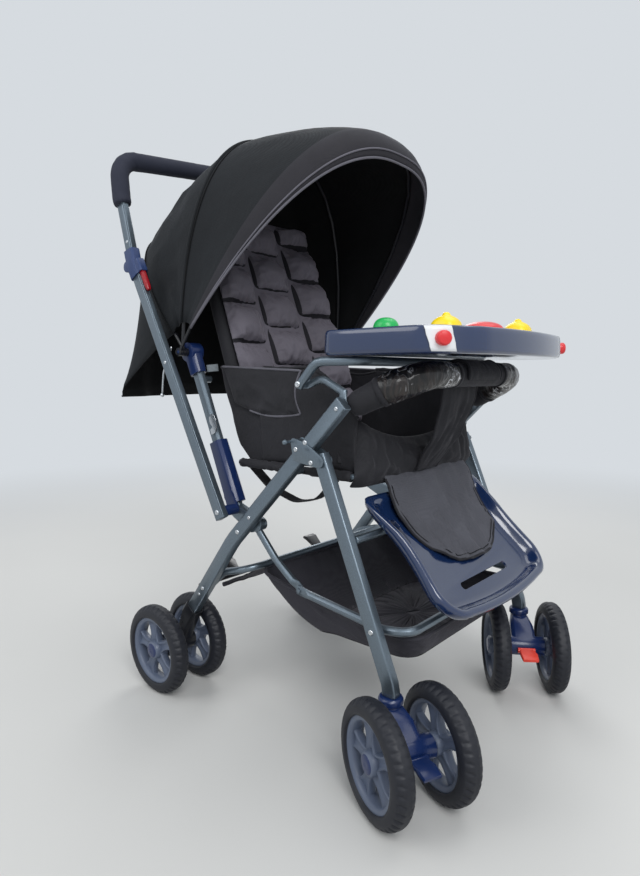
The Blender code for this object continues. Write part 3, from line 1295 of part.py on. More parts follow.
def footrest():
    levels = [(0.020, -FOOTREST_WALL), (0.004, 0.004), (0.0, FOOTREST_RIM - 0.004), (0.003, FOOTREST_RIM),
              (0.010, FOOTREST_RIM), (0.014, FOOTREST_RIM - 0.005), (0.019, 0.004), (0.030, 0.0)]
    rings = []
    for shrink, lift in levels:
        ring = []
        for x, down in footrest_outline(shrink):
            fade = min(1.0, max(0.0, down / (FOOTREST_LENGTH * 0.35)))
            height = lift if lift <= 0.004 else 0.004 + (lift - 0.004) * (0.35 + 0.65 * fade)
            ring.append(footrest_point(x, down, height))
        rings.append(ring)
    count = len(rings[0])
    vertices = [p for ring in rings for p in ring]
    faces = []
    for ring in range(len(rings) - 1):
        for index in range(count):
            after = (index + 1) % count
            a, b = ring * count + index, ring * count + after
            faces.append((a, b, b + count, a + count))
    faces.append(tuple(range(count)))
    faces.append(tuple(range(count * (len(rings) - 1), count * len(rings))))
    body = outward(mesh_from(vertices, faces))
    slots = []
    low_slot, side_slot = FOOTREST_LENGTH * 0.80, FOOTREST_LENGTH * 0.30
    for x, down, wide, tall in ((0, low_slot, 0.15, 0.012), (-0.125, side_slot, 0.016, 0.045),
                                (0.125, side_slot, 0.016, 0.045)):
        outline = hull_outline([((x - wide / 2 + 0.006, down - tall / 2 + 0.006), 0.006),
                                ((x + wide / 2 - 0.006, down - tall / 2 + 0.006), 0.006),
                                ((x + wide / 2 - 0.006, down + tall / 2 - 0.006), 0.006),
                                ((x - wide / 2 + 0.006, down + tall / 2 - 0.006), 0.006)], 2)
        slots.append(extrude_outline(outline, -0.02, 0.02, footrest_point))
    ears = []
    reach = CROSSBAR_RADIUS + FIT_GAP
    for sign in SIDES.values():
        centre = Vector((sign * 0.100, *FOOTREST_PIVOT))
        ears.append(disc(centre, (1, 0, 0), reach + 0.004, -0.012, 0.012, 16))
        down = (Vector(FOOTREST_PIVOT) - Vector(FOOTREST_TOP)).dot(FOOTREST_AXIS)
        near = footrest_point(centre.x, down, 0)
        web = [centre + (near - centre) * 0.35, near]
        ears.append(sweep(web, box_section(0.024, 0.016), Vector((1, 0, 0))))
    bore = disc((0, *FOOTREST_PIVOT), (1, 0, 0), reach, -0.2, 0.2, 16)
    return finish("footrest", cut(union(body, *ears), *slots, bore), "navy")


def leg_flap():
    # The cloth leaves the seat tube, passes over the footrest's rim and lies on it.
    thick = 0.003
    fall = ((-0.0204, 0.0221), (-0.008, 0.0215), (0.006, 0.0170), (0.024, 0.0100), (0.045, 0.0040),
            (0.068, 0.0003), (0.092, 0.0010), (0.114, 0.0003), (0.132, 0.0008))
    rows = []
    count = len(fall) - 1
    for index, (down, lift) in enumerate(fall):
        share = index / count
        half = 0.115 + 0.010 * math.sin(math.pi * share) - 0.030 * share ** 6
        row = []
        for j in range(9):
            x = (j / 8 - 0.5) * 2 * half
            fade = min(1.0, 2 * share) * math.sin(math.pi * share)
            wave = 0.0030 * math.sin(j * 1.9 + share * 2) ** 2 * fade
            row.append((footrest_point(x, down, lift + wave), footrest_point(x, down, lift + wave + thick)))
        rows.append(row)
    vertices = [p for row in rows for pair in row for p in pair]
    width = 18
    faces = []
    for i in range(count):
        for j in range(8):
            a = i * width + 2 * j
            faces.append((a, a + 2, a + 2 + width, a + width))
            faces.append((a + 1, a + 1 + width, a + 3 + width, a + 3))
    for j in range(8):
        for a in (2 * j, count * width + 2 * j):
            faces.append((a, a + 1, a + 3, a + 2))
    for i in range(count):
        for a in (i * width, i * width + 16):
            faces.append((a, a + width, a + width + 1, a + 1))
    return finish("leg_flap", outward(mesh_from(vertices, faces)), "flap")


# Basket

def basket_bar():
    plane = BASKET_BAR_PLANE
    front_z = BASKET_BAR_PIVOT[1] + 0.004
    flat_axis = direction(BASKET_BAR_PIVOT, BRACE_JOINT)
    thin = 0.0034 / (2 * BRACE_RADIUS)
    right = [at_side(along(BRACE_JOINT, flat_axis, -0.022), "right", plane),
             at_side(BASKET_BAR_PIVOT, "right", plane),
             at_side((BASKET_BAR_FRONT_Y, front_z), "right", plane - 0.004)]
    left = [Vector((-point.x, point.y, point.z)) for point in reversed(right)]
    run = rounded_path([*right, *left], 0.040)
    head = [at_side(along(BRACE_JOINT, flat_axis, 0.005), "right", plane),
            at_side(along(BRACE_JOINT, flat_axis, -0.012), "right", plane)]
    tail = [Vector((-point.x, point.y, point.z)) for point in reversed(head)]
    scales = [(thin, 1.25)] * 2 + [(1, 1)] * len(run) + [(thin, 1.25)] * 2
    bar = sweep([*head, *run, *tail], round_section(BRACE_RADIUS), scales=scales)
    extras = []
    for side, sign in SIDES.items():
        low = plane - 0.002
        high = LEG_INNER - RUN_GAP
        extras.append(revolve([(low, 0), (low, 0.0055), (high, 0.0055), (high, 0)], 12,
                              Vector((0, *BASKET_BAR_PIVOT)), Vector((sign, 0, 0))))
        low = plane
        extras.append(revolve([(low, 0), (low, 0.0045), (low + 0.0040, 0.0040), (low + 0.0048, 0)], 12,
                              Vector((0, *BRACE_JOINT)), Vector((sign, 0, 0))))
    return finish("basket_bar", union(bar, *extras), "frame")


def basket():
    # An open cloth tub between the rear crossbar and the basket bar.
    leg_point = between(REAR_LEG_BEND, REAR_LEG_FOOT, CROSSBAR_LEG_POINT)
    rear_z = leg_point[1] + CROSSBAR_RISE - CROSSBAR_RADIUS * math.cos(math.pi / 8) - FIT_GAP
    front_z = BASKET_BAR_PIVOT[1] - BRACE_RADIUS - BASKET_DROP
    half_top = BASKET_BAR_PLANE - BRACE_RADIUS - 0.010
    rear_y = BASKET_REAR_Y - 0.002
    front_y = BASKET_BAR_FRONT_Y - 0.001
    cloth = BASKET_CLOTH

    def ring(share, inset):
        # share 0 is the rim, 1 the floor.
        half = half_top - 0.030 * share - inset
        rear = rear_y - 0.105 * share - inset
        front = front_y + 0.028 * share + inset
        corner = 0.030
        points = []
        for sign_x, y_at, sign_y in ((1, front, -1), (1, rear, 1), (-1, rear, 1), (-1, front, -1)):
            for step in range(4):
                angle = math.radians(90 * step / 3)
                if sign_x * sign_y > 0:
                    angle = math.pi / 2 - angle
                x = sign_x * (half - corner + corner * math.sin(angle))
                y = y_at - sign_y * (corner - corner * math.cos(angle))
                lean = (y - front_y) / (rear_y - front_y)
                rim = front_z + (rear_z - front_z) * max(0.0, lean - 0.28) / 0.72
                floor = BASKET_FLOOR_Z - BASKET_SAG * max(0.0, min(1.0, 3 * lean - 1.5))
                z = rim + (floor + inset - rim) * share
                points.append(Vector((x, y, z)))
        return points

    levels = [ring(1.0, 0.0), ring(0.5, -0.004), ring(0.0, 0.0), ring(0.0, cloth), ring(0.5, cloth - 0.004),
              ring(1.0, cloth)]
    count = len(levels[0])
    vertices = [p for level in levels for p in level]
    faces = []
    for level in range(len(levels) - 1):
        for index in range(count):
            after = (index + 1) % count
            a, b = level * count + index, level * count + after
            faces.append((a, b, b + count, a + count))
    faces.append(tuple(range(count)))
    faces.append(tuple(range(count * (len(levels) - 1), count * len(levels))))
    return finish("basket", outward(mesh_from(vertices, faces)), "cloth")


# Rear brake

def brake_bar():
    leg_axis = direction(REAR_LEG_BEND, REAR_LEG_FOOT)
    back = Vector((-leg_axis[1], leg_axis[0]))
    if back[0] < 0:
        back = -back
    place = brake_pivot()
    reach = LEG_PLANE - 0.004
    rod = sweep([Vector((-reach, *place)), Vector((reach, *place))], round_section(0.004, 10))
    pedals = []
    for sign in SIDES.values():
        root = Vector((sign * 0.120, *place))
        tip = along(place, back, 0.040)
        middle = Vector((root.x, *along(place, back, 0.030)))
        pedals.append(sweep([root, middle, Vector((root.x, tip[0], tip[1] - 0.004))],
                            box_section(0.034, 0.007, 0.002), Vector((1, 0, 0)),
                            scales=[(0.6, 1), (1, 1), (1, 0.8)]))
    return finish("brake_bar", union(rod, *pedals), "steel")


def brake_pivot():
    leg_axis = direction(REAR_LEG_BEND, REAR_LEG_FOOT)
    back = Vector((-leg_axis[1], leg_axis[0]))
    if back[0] < 0:
        back = -back
    spot = between(REAR_LEG_BEND, REAR_LEG_FOOT, BRAKE_LEG_POINT)
    return along(spot, back, LEG_DEPTH / 2 + 0.004 + FIT_GAP)


# Assembly

def pivot(name, place):
    empty = bpy.data.objects.new(name, None)
    empty.empty_display_size = 0.02
    empty.location = place
    bpy.context.collection.objects.link(empty)
    return empty


def hang(items, parent):
    bpy.context.view_layer.update()
    for item in items:
        item.parent = parent
        item.matrix_parent_inverse = Matrix.Translation(-parent.matrix_world.translation)


def build():
    clear_scene()
    origin = pivot("frame_origin", (0, 0, 0))
    wheels = add_wheels()

    rear = [rear_leg(side) for side in SIDES] + [rear_hub(side) for side in SIDES]
    rear += [gusset(side) for side in SIDES] + [tray_link(side) for side in SIDES]
    rear += [rear_crossbar(), seat_frame(), seat_pad(), bumper(), crotch_panel(), basket()]
    rear_wheels = [wheels[name] for name in wheels if name.startswith("rear")]
    hang(rear, origin)
    for item, centre in rear_wheels:
        axle = pivot(f"axis_{item.name}", centre)
        hang([axle], origin)
        hang([item], axle)

    front_pivot = pivot("front_frame_axis", Vector((0, *FRONT_LEG_PIVOT)))
    hang([front_pivot], origin)
    hang([front_leg(side) for side in SIDES] + [front_crossbar(), leg_flap()], front_pivot)
    footrest_axis = pivot("footrest_axis", Vector((0, *FOOTREST_PIVOT)))
    hang([footrest_axis], front_pivot)
    hang([footrest()], footrest_axis)
    basket_axis = pivot("basket_bar_axis", Vector((0, *BASKET_BAR_PIVOT)))
    hang([basket_axis], front_pivot)
    hang([basket_bar()], basket_axis)
    for side in SIDES:
        swivel = pivot(f"caster_axis_{side}", front_stem(side))
        hang([swivel], front_pivot)
        hang([caster(side)], swivel)
        lock_axis = pivot(f"caster_lock_axis_{side}", lock_pin(side))
        hang([lock_axis], swivel)
        hang([caster_lock(side)], lock_axis)
        for place in ("outer", "inner"):
            item, centre = wheels[f"front_wheel_{side}_{place}"]
            spin = pivot(f"axis_{item.name}", centre)
            hang([spin], swivel)
            hang([item], spin)

    upper = pivot("upright_axis", Vector((0, *FOLD_PIVOT)))
    hang([upper], origin)
    fixed = []
    for side in SIDES:
        fixed += [upright(side), upright_sleeve(side), canopy_clip(side)]
    fixed += [hoop("canopy_hoop_rear"), canopy_cover()]
    hang(fixed, upper)
    for name in ("canopy_hoop_front", "canopy_hoop_middle"):
        hub = pivot(f"{name}_axis", Vector((0, *CANOPY_HUB)))
        hang([hub], upper)
        hang([hoop(name)], hub)
    recline = pivot("recline_axis", Vector((0, *RECLINE_PIVOT)))
    hang([recline], origin)
    hang([backrest_frame(), backrest_pad()], recline)
    swing = pivot("handle_axis", Vector((0, *HANDLE_PIVOT)))
    hang([swing], upper)
    hang([handle_leg(side) for side in SIDES] + [collar(side) for side in SIDES]
         + [handle_bar(), handle_grip()], swing)
    for side in SIDES:
        slide = pivot(f"trigger_axis_{side}", at_side(trigger_place(), side, HANDLE_PLANE))
        hang([slide], swing)
        hang([trigger(side)], slide)

    tray_axis = pivot("tray_axis", Vector((0, *TRAY_LINK_TOP)))
    hang([tray_axis], origin)
    hang([tray_tube(), tray_shell(), tray_top()], tray_axis)
    for side in SIDES:
        button = pivot(f"corner_button_axis_{side}", corner_button_place(side)[0])
        hang([button], tray_axis)
        hang([corner_button(side)], button)
    for name, toy in TOYS.items():
        button = pivot(f"{name}_axis", (*toy["place"], TRAY_TOP_Z))
        hang([button], tray_axis)
        hang([toy_button(name)], button)
    brake = pivot("brake_axis", Vector((0, *brake_pivot())))
    hang([brake], origin)
    hang([brake_bar()], brake)
    centre_on_footprint(origin)


def centre_on_footprint(origin):
    bpy.context.view_layer.update()
    corners = []
    for item in bpy.data.objects:
        if item.type == "MESH":
            corners += [item.matrix_world @ vertex.co for vertex in item.data.vertices]
    low = [min(point[axis] for point in corners) for axis in range(3)]
    high = [max(point[axis] for point in corners) for axis in range(3)]
    shift = Vector((-(low[0] + high[0]) / 2, -(low[1] + high[1]) / 2, -low[2]))
    origin.location = shift
    bpy.context.view_layer.update()
    print("moved by", [round(value, 6) for value in shift])


build()
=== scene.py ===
import json
import math

import bmesh
import bpy
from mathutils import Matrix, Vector, noise


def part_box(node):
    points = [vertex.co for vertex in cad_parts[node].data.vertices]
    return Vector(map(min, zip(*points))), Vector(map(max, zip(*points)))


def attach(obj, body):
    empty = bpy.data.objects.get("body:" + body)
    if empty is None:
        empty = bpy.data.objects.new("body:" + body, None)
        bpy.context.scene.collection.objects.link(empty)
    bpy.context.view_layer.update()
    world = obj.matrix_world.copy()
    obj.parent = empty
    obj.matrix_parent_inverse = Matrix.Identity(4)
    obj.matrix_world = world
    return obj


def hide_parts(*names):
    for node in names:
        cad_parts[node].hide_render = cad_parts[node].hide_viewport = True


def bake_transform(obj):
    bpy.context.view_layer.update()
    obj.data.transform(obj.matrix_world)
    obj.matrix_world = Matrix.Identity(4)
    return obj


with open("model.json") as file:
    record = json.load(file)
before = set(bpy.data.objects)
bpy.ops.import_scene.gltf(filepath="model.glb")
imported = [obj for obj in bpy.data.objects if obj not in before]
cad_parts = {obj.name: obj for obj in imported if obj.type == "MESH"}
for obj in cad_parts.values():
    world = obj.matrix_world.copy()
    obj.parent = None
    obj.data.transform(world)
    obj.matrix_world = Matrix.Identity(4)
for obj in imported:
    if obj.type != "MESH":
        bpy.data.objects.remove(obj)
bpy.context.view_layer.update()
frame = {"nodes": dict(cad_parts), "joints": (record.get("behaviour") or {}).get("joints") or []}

joints = {joint["name"]: joint for joint in frame["joints"]}
foldPivot = Vector(joints["frame_fold"]["pos_m"])
shift = Vector((foldPivot.x, foldPivot.y - 0.043, 0))  # from the drawing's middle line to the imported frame
sides = {"right": -1, "left": 1}


def at(x, y, z):
    return Vector((x, y, z)) + shift


# mesh helpers

def makePiece(name, vertices, faces, material, smooth=True):
    mesh = bpy.data.meshes.new(name)
    mesh.from_pydata([tuple(point) for point in vertices], [], [tuple(face) for face in faces])
    shape = bmesh.new()
    shape.from_mesh(mesh)
    bmesh.ops.recalc_face_normals(shape, faces=shape.faces)
    shape.to_mesh(mesh)
    shape.free()
    mesh.polygons.foreach_set("use_smooth", [smooth] * len(mesh.polygons))
    piece = bpy.data.objects.new(name, mesh)
    bpy.context.scene.collection.objects.link(piece)
    mesh.materials.append(material)
    return piece


def gridFaces(rowCount, width, wrap=False, start=0):
    faces = []
    for i in range(rowCount - 1):
        for j in range(width if wrap else width - 1):
            after = (j + 1) % width
            a = start + i * width
            faces.append((a + j, a + after, a + width + after, a + width + j))
    return faces


def clothGrid(name, rows, material):
    vertices = [point for row in rows for point in row]
    return makePiece(name, vertices, gridFaces(len(rows), len(rows[0])), material)


def smoothPath(corners, radius, step=7.0):
    corners = [Vector(corner) for corner in corners]
    path = [corners[0]]
    for before, corner, after in zip(corners, corners[1:], corners[2:]):
        into, away = (before - corner).normalized(), (after - corner).normalized()
        half = into.angle(away) / 2
        room = min((before - corner).length, (after - corner).length) * 0.49
        setback = min(radius / math.tan(half), room)
        centre = corner + (into + away).normalized() * setback * math.tan(half) / math.sin(half)
        start, end = corner + into * setback - centre, corner + away * setback - centre
        turn = start.angle(end)
        steps = max(2, round(math.degrees(turn) / step))
        for index in range(steps + 1):
            share = index / steps
            mixed = start * math.sin((1 - share) * turn) + end * math.sin(share * turn)
            path.append(centre + mixed / math.sin(turn))
    path.append(corners[-1])
    return path


def evenPath(path, spacing):
    # the same line with points at equal distances
    lengths = [0.0]
    for a, b in zip(path, path[1:]):
        lengths.append(lengths[-1] + (b - a).length)
    count = max(2, round(lengths[-1] / spacing))
    points, k = [], 0
    for index in range(count + 1):
        wanted = lengths[-1] * index / count
        while k < len(path) - 2 and lengths[k + 1] < wanted:
            k += 1
        span = lengths[k + 1] - lengths[k]
        points.append(path[k].lerp(path[k + 1], (wanted - lengths[k]) / span if span else 0))
    return points


def tubeRings(path, radius, ringSides, sideAxis=None):
    # radius is one number, or a function of (share along, angle) that gives (across, other) offsets
    rings = []
    across = Vector(sideAxis) if sideAxis else None
    for index, point in enumerate(path):
        tangent = (path[min(index + 1, len(path) - 1)] - path[max(index - 1, 0)]).normalized()
        if across is None or abs(across.dot(tangent)) > 0.999:
            across = tangent.orthogonal()
        across = (across - tangent * across.dot(tangent)).normalized()
        other = tangent.cross(across)
        ring = []
        for k in range(ringSides):
            angle = math.tau * k / ringSides
            if callable(radius):
                first, second = radius(index / (len(path) - 1), angle)
            else:
                first, second = radius * math.cos(angle), radius * math.sin(angle)
            ring.append(point + across * first + other * second)
        rings.append(ring)
    return rings


def tube(name, path, radius, material, ringSides=16, sideAxis=None):
    rings = tubeRings(path, radius, ringSides, sideAxis)
    last = (len(rings) - 1) * ringSides
    faces = gridFaces(len(rings), ringSides, True) + [range(ringSides), range(last, last + ringSides)]
    return makePiece(name, [point for ring in rings for point in ring], faces, material)


def strap(name, path, width, thickness, material, sideAxis):
    def band(share, angle):
        c, s = math.cos(angle), math.sin(angle)
        return (width / 2 * math.copysign(abs(c) ** 0.3, c), thickness / 2 * math.copysign(abs(s) ** 0.3, s))

    return tube(name, evenPath(path, 0.006), band, material, 16, sideAxis=sideAxis)


def turned(name, profile, centre, axis, material, steps=40):
    # profile holds (along, radius) points; a radius of 0 closes the end
    axis = Vector(axis).normalized()
    first = axis.orthogonal().normalized()
    second = axis.cross(first)
    vertices, rings = [], []
    for along, radius in profile:
        ring = []
        for k in range(1 if radius < 1e-7 else steps):
            angle = math.tau * k / steps
            ring.append(len(vertices))
            spoke = first * math.cos(angle) + second * math.sin(angle)
            vertices.append(Vector(centre) + axis * along + spoke * radius)
        rings.append(ring)
    faces = []
    for ring, following in zip(rings, rings[1:]):
        for k in range(steps):
            corners = [ring[k % len(ring)], ring[(k + 1) % len(ring)],
                       following[(k + 1) % len(following)], following[k % len(following)]]
            faces.append(list(dict.fromkeys(corners)))
    return makePiece(name, vertices, faces, material)


def joined(name, parts):
    materials, shape = [], bmesh.new()
    for part in parts:
        slots = []
        for material in part.data.materials:
            if material not in materials:
                materials.append(material)
            slots.append(materials.index(material))
        first = len(shape.faces)
        shape.from_mesh(part.data)
        shape.faces.ensure_lookup_table()
        for face in shape.faces[first:]:
            face.material_index = slots[face.material_index]
        bpy.data.objects.remove(part)
    mesh = bpy.data.meshes.new(name)
    shape.to_mesh(mesh)
    shape.free()
    for material in materials:
        mesh.materials.append(material)
    piece = bpy.data.objects.new(name, mesh)
    bpy.context.scene.collection.objects.link(piece)
    return piece


def settled(piece):
    # keeps what the modifiers make, and drops the modifiers
    graph = bpy.context.evaluated_depsgraph_get()
    mesh = bpy.data.meshes.new_from_object(piece.evaluated_get(graph))
    piece.modifiers.clear()
    piece.data = mesh
    return piece


def thickened(piece, thickness, offset=0.0):
    solid = piece.modifiers.new("thickness", "SOLIDIFY")
    solid.thickness = thickness
    solid.offset = offset
    return settled(piece)


def subdivided(piece):
    finer = piece.modifiers.new("finer", "SUBSURF")
    finer.levels = finer.render_levels = 1
    return settled(piece)


def bevelled(piece, width, segments=2, angle=35):
    edge = piece.modifiers.new("edge", "BEVEL")
    edge.width = width
    edge.segments = segments
    edge.limit_method = "ANGLE"
    edge.angle_limit = math.radians(angle)
    edge.harden_normals = True
    return piece


def creases(point, size, seed=0.0):
    # soft folds with sharper ridges, from -1 to 1
    where = Vector(point) / size + Vector((seed, seed * 1.7, -seed))
    return 1 - 2 * abs(noise.noise(where)) * 1.6


# shared shader effects

def newGroup(name, inputs, outputs):
    group = bpy.data.node_groups.new(name, "ShaderNodeTree")
    for label, kind, value in inputs:
        socket = group.interface.new_socket(label, in_out="INPUT", socket_type=kind)
        socket.default_value = value
    for label, kind in outputs:
        group.interface.new_socket(label, in_out="OUTPUT", socket_type=kind)
    return group, group.nodes.new("NodeGroupInput"), group.nodes.new("NodeGroupOutput")


def addNode(tree, kind, values=None, **settings):
    node = tree.nodes.new(kind)
    for key, value in settings.items():
        setattr(node, key, value)
    for key, value in (values or {}).items():
        node.inputs[key].default_value = value
    return node


def linkAll(tree, pairs):
    for source, target in pairs:
        tree.links.new(source, target)


colorSocket, numberSocket = "NodeSocketColor", "NodeSocketFloat"


def wovenThreads():
    # crossing threads on all three planes, with slightly uneven yarn; the colour is darker where the weave is low,
    # painted shade between the threads
    group, inside, outside = newGroup(
        "wovenThreads", [("Color", colorSocket, (0.1, 0.1, 0.1, 1)), ("Threads", numberSocket, 700.0),
                         ("Contrast", numberSocket, 0.25), ("Mottle", numberSocket, 0.2)],
        [("Color", colorSocket), ("Height", numberSocket), ("Roughness", numberSocket)])
    place = addNode(group, "ShaderNodeTexCoord")
    split = addNode(group, "ShaderNodeSeparateXYZ")
    group.links.new(place.outputs["Object"], split.inputs[0])
    waves = []
    for axis in range(3):
        scaled = addNode(group, "ShaderNodeMath", operation="MULTIPLY")
        wave = addNode(group, "ShaderNodeMath", operation="SINE")
        linkAll(group, [(split.outputs[axis], scaled.inputs[0]), (inside.outputs["Threads"], scaled.inputs[1]),
                        (scaled.outputs[0], wave.inputs[0])])
        waves.append(wave)
    crossings = []
    for a, b in ((0, 1), (1, 2), (2, 0)):
        cross = addNode(group, "ShaderNodeMath", operation="MULTIPLY")
        linkAll(group, [(waves[a].outputs[0], cross.inputs[0]), (waves[b].outputs[0], cross.inputs[1])])
        crossings.append(cross)
    first = addNode(group, "ShaderNodeMath", operation="ADD")
    total = addNode(group, "ShaderNodeMath", operation="ADD")
    height = addNode(group, "ShaderNodeMapRange", {"From Min": -1.5, "From Max": 1.5})
    yarn = addNode(group, "ShaderNodeTexNoise", {"Scale": 260.0, "Detail": 2.0})
    cloud = addNode(group, "ShaderNodeTexNoise", {"Scale": 9.0, "Detail": 5.0, "Roughness": 0.6})
    thread = addNode(group, "ShaderNodeMath", operation="MULTIPLY_ADD")
    thread.inputs[1].default_value = 0.35
    # darker where the weave is low: painted shade between the threads, mixed with the uneven yarn tone
    darker = addNode(group, "ShaderNodeMapRange", {"From Min": 0.0, "From Max": 1.2, "To Max": 1.0})
    contrast = addNode(group, "ShaderNodeMath", operation="SUBTRACT")
    contrast.inputs[0].default_value = 1.0
    patchy = addNode(group, "ShaderNodeMath", operation="SUBTRACT")
    patchy.inputs[0].default_value = 1.0
    cloudy = addNode(group, "ShaderNodeMapRange", {"From Min": 0.3, "From Max": 0.7, "To Max": 1.1})
    shade = addNode(group, "ShaderNodeMath", operation="MULTIPLY")
    tint = addNode(group, "ShaderNodeVectorMath", operation="SCALE")
    rough = addNode(group, "ShaderNodeMapRange", {"To Min": 0.97, "To Max": 0.72})
    linkAll(group, [
        (crossings[0].outputs[0], first.inputs[0]), (crossings[1].outputs[0], first.inputs[1]),
        (first.outputs[0], total.inputs[0]), (crossings[2].outputs[0], total.inputs[1]),
        (total.outputs[0], height.inputs["Value"]),
        (place.outputs["Object"], yarn.inputs["Vector"]), (place.outputs["Object"], cloud.inputs["Vector"]),
        (yarn.outputs[0], thread.inputs[0]), (height.outputs[0], thread.inputs[2]),
        (thread.outputs[0], darker.inputs["Value"]), (inside.outputs["Contrast"], contrast.inputs[1]),
        (contrast.outputs[0], darker.inputs["To Min"]),
        (inside.outputs["Mottle"], patchy.inputs[1]), (cloud.outputs[0], cloudy.inputs["Value"]),
        (patchy.outputs[0], cloudy.inputs["To Min"]),
        (darker.outputs[0], shade.inputs[0]), (cloudy.outputs[0], shade.inputs[1]),
        (inside.outputs["Color"], tint.inputs[0]), (shade.outputs[0], tint.inputs["Scale"]),
        (thread.outputs[0], rough.inputs["Value"]),
        (tint.outputs[0], outside.inputs["Color"]), (thread.outputs[0], outside.inputs["Height"]),
        (rough.outputs[0], outside.inputs["Roughness"])])
    return group


def surfaceWear():
    # faint scuffs, fine grain and handling marks for plastic and paint
    group, inside, outside = newGroup(
        "surfaceWear", [("Color", colorSocket, (0.1, 0.1, 0.2, 1)), ("Worn Color", colorSocket, (0.3, 0.3, 0.35, 1)),
                        ("Grain", numberSocket, 900.0), ("Roughness", numberSocket, 0.35),
                        ("Wear", numberSocket, 0.3)],
        [("Color", colorSocket), ("Height", numberSocket), ("Roughness", numberSocket)])
    place = addNode(group, "ShaderNodeTexCoord")
    grain = addNode(group, "ShaderNodeTexNoise", {"Detail": 2.0, "Roughness": 0.5})
    smear = addNode(group, "ShaderNodeTexNoise", {"Scale": 14.0, "Detail": 6.0, "Roughness": 0.65})
    stretch = addNode(group, "ShaderNodeMapping")
    stretch.inputs["Scale"].default_value = (60, 60, 900)
    stretch.inputs["Rotation"].default_value = (0.5, 0.3, 0.2)
    lines = addNode(group, "ShaderNodeTexNoise", {"Scale": 1.0, "Detail": 3.0})
    thin = addNode(group, "ShaderNodeMapRange", {"From Min": 0.66, "From Max": 0.74})
    zone = addNode(group, "ShaderNodeMapRange", {"From Min": 0.45, "From Max": 0.7})
    mask = addNode(group, "ShaderNodeMath", operation="MULTIPLY")
    amount = addNode(group, "ShaderNodeMath", operation="MULTIPLY")
    blend = addNode(group, "ShaderNodeMix", data_type="RGBA")
    spread = addNode(group, "ShaderNodeMapRange", {"From Min": 0.3, "From Max": 0.7, "To Min": -0.07, "To Max": 0.09})
    rough = addNode(group, "ShaderNodeMath", operation="ADD")
    rougher = addNode(group, "ShaderNodeMath", operation="MULTIPLY_ADD")
    rougher.inputs[1].default_value = 0.3
    linkAll(group, [
        (place.outputs["Object"], grain.inputs["Vector"]), (inside.outputs["Grain"], grain.inputs["Scale"]),
        (place.outputs["Object"], smear.inputs["Vector"]), (place.outputs["Object"], stretch.inputs["Vector"]),
        (stretch.outputs[0], lines.inputs["Vector"]), (lines.outputs[0], thin.inputs["Value"]),
        (smear.outputs[0], zone.inputs["Value"]),
        (thin.outputs[0], mask.inputs[0]), (zone.outputs[0], mask.inputs[1]),
        (mask.outputs[0], amount.inputs[0]), (inside.outputs["Wear"], amount.inputs[1]),
        (amount.outputs[0], blend.inputs["Factor"]), (inside.outputs["Color"], blend.inputs["A"]),
        (inside.outputs["Worn Color"], blend.inputs["B"]), (smear.outputs[0], spread.inputs["Value"]),
        (spread.outputs[0], rough.inputs[0]), (inside.outputs["Roughness"], rough.inputs[1]),
        (amount.outputs[0], rougher.inputs[0]), (rough.outputs[0], rougher.inputs[2]),
        (blend.outputs["Result"], outside.inputs["Color"]), (grain.outputs[0], outside.inputs["Height"]),
        (rougher.outputs[0], outside.inputs["Roughness"])])
    return group


def metalFlake():
    # tiny bright and dark flakes in the paint
    group, inside, outside = newGroup(
        "metalFlake", [("Color", colorSocket, (0.2, 0.2, 0.2, 1)), ("Scale", numberSocket, 1600.0),
                       ("Amount", numberSocket, 0.3)], [("Color", colorSocket)])
    place = addNode(group, "ShaderNodeTexCoord")
    cells = addNode(group, "ShaderNodeTexVoronoi")
    grey = addNode(group, "ShaderNodeSeparateColor")
    low = addNode(group, "ShaderNodeMath", operation="SUBTRACT")
    low.inputs[0].default_value = 1.0
    high = addNode(group, "ShaderNodeMath", operation="ADD")
    high.inputs[0].default_value = 1.0
    spread = addNode(group, "ShaderNodeMapRange")
    tint = addNode(group, "ShaderNodeVectorMath", operation="SCALE")
    linkAll(group, [
        (place.outputs["Object"], cells.inputs["Vector"]), (inside.outputs["Scale"], cells.inputs["Scale"]),
        (cells.outputs["Color"], grey.inputs[0]), (grey.outputs[0], spread.inputs["Value"]),
        (inside.outputs["Amount"], low.inputs[1]), (inside.outputs["Amount"], high.inputs[1]),
        (low.outputs[0], spread.inputs["To Min"]), (high.outputs[0], spread.inputs["To Max"]),
        (inside.outputs["Color"], tint.inputs[0]), (spread.outputs[0], tint.inputs["Scale"]),
        (tint.outputs[0], outside.inputs["Color"])])
    return group


threadGroup, wearGroup, flakeGroup = wovenThreads(), surfaceWear(), metalFlake()


def fromScreen(red, green, blue):
    # a colour as seen on screen, 0 to 255, to the shader's own values
    linear = []
    for value in (red, green, blue):
        value /= 255
        linear.append(value / 12.92 if value <= 0.04045 else ((value + 0.055) / 1.055) ** 2.4)
    return (*linear, 1)


def newMaterial(name):
    material = bpy.data.materials.new(name)
    material.use_nodes = True
    tree = material.node_tree
    return material, tree, tree.nodes["Principled BSDF"]


def setShader(shader, values):
    for key, value in values.items():
        shader.inputs[key].default_value = value


def placeGroup(tree, group, values):
    node = tree.nodes.new("ShaderNodeGroup")
    node.node_tree = group
    for key, value in values.items():
        node.inputs[key].default_value = value
    return node


def addBump(tree, height, strength, distance, normal=None):
    bump = addNode(tree, "ShaderNodeBump", {"Strength": strength, "Distance": distance})
    tree.links.new(height, bump.inputs["Height"])
    if normal:
        tree.links.new(normal, bump.inputs["Normal"])
    return bump.outputs["Normal"]


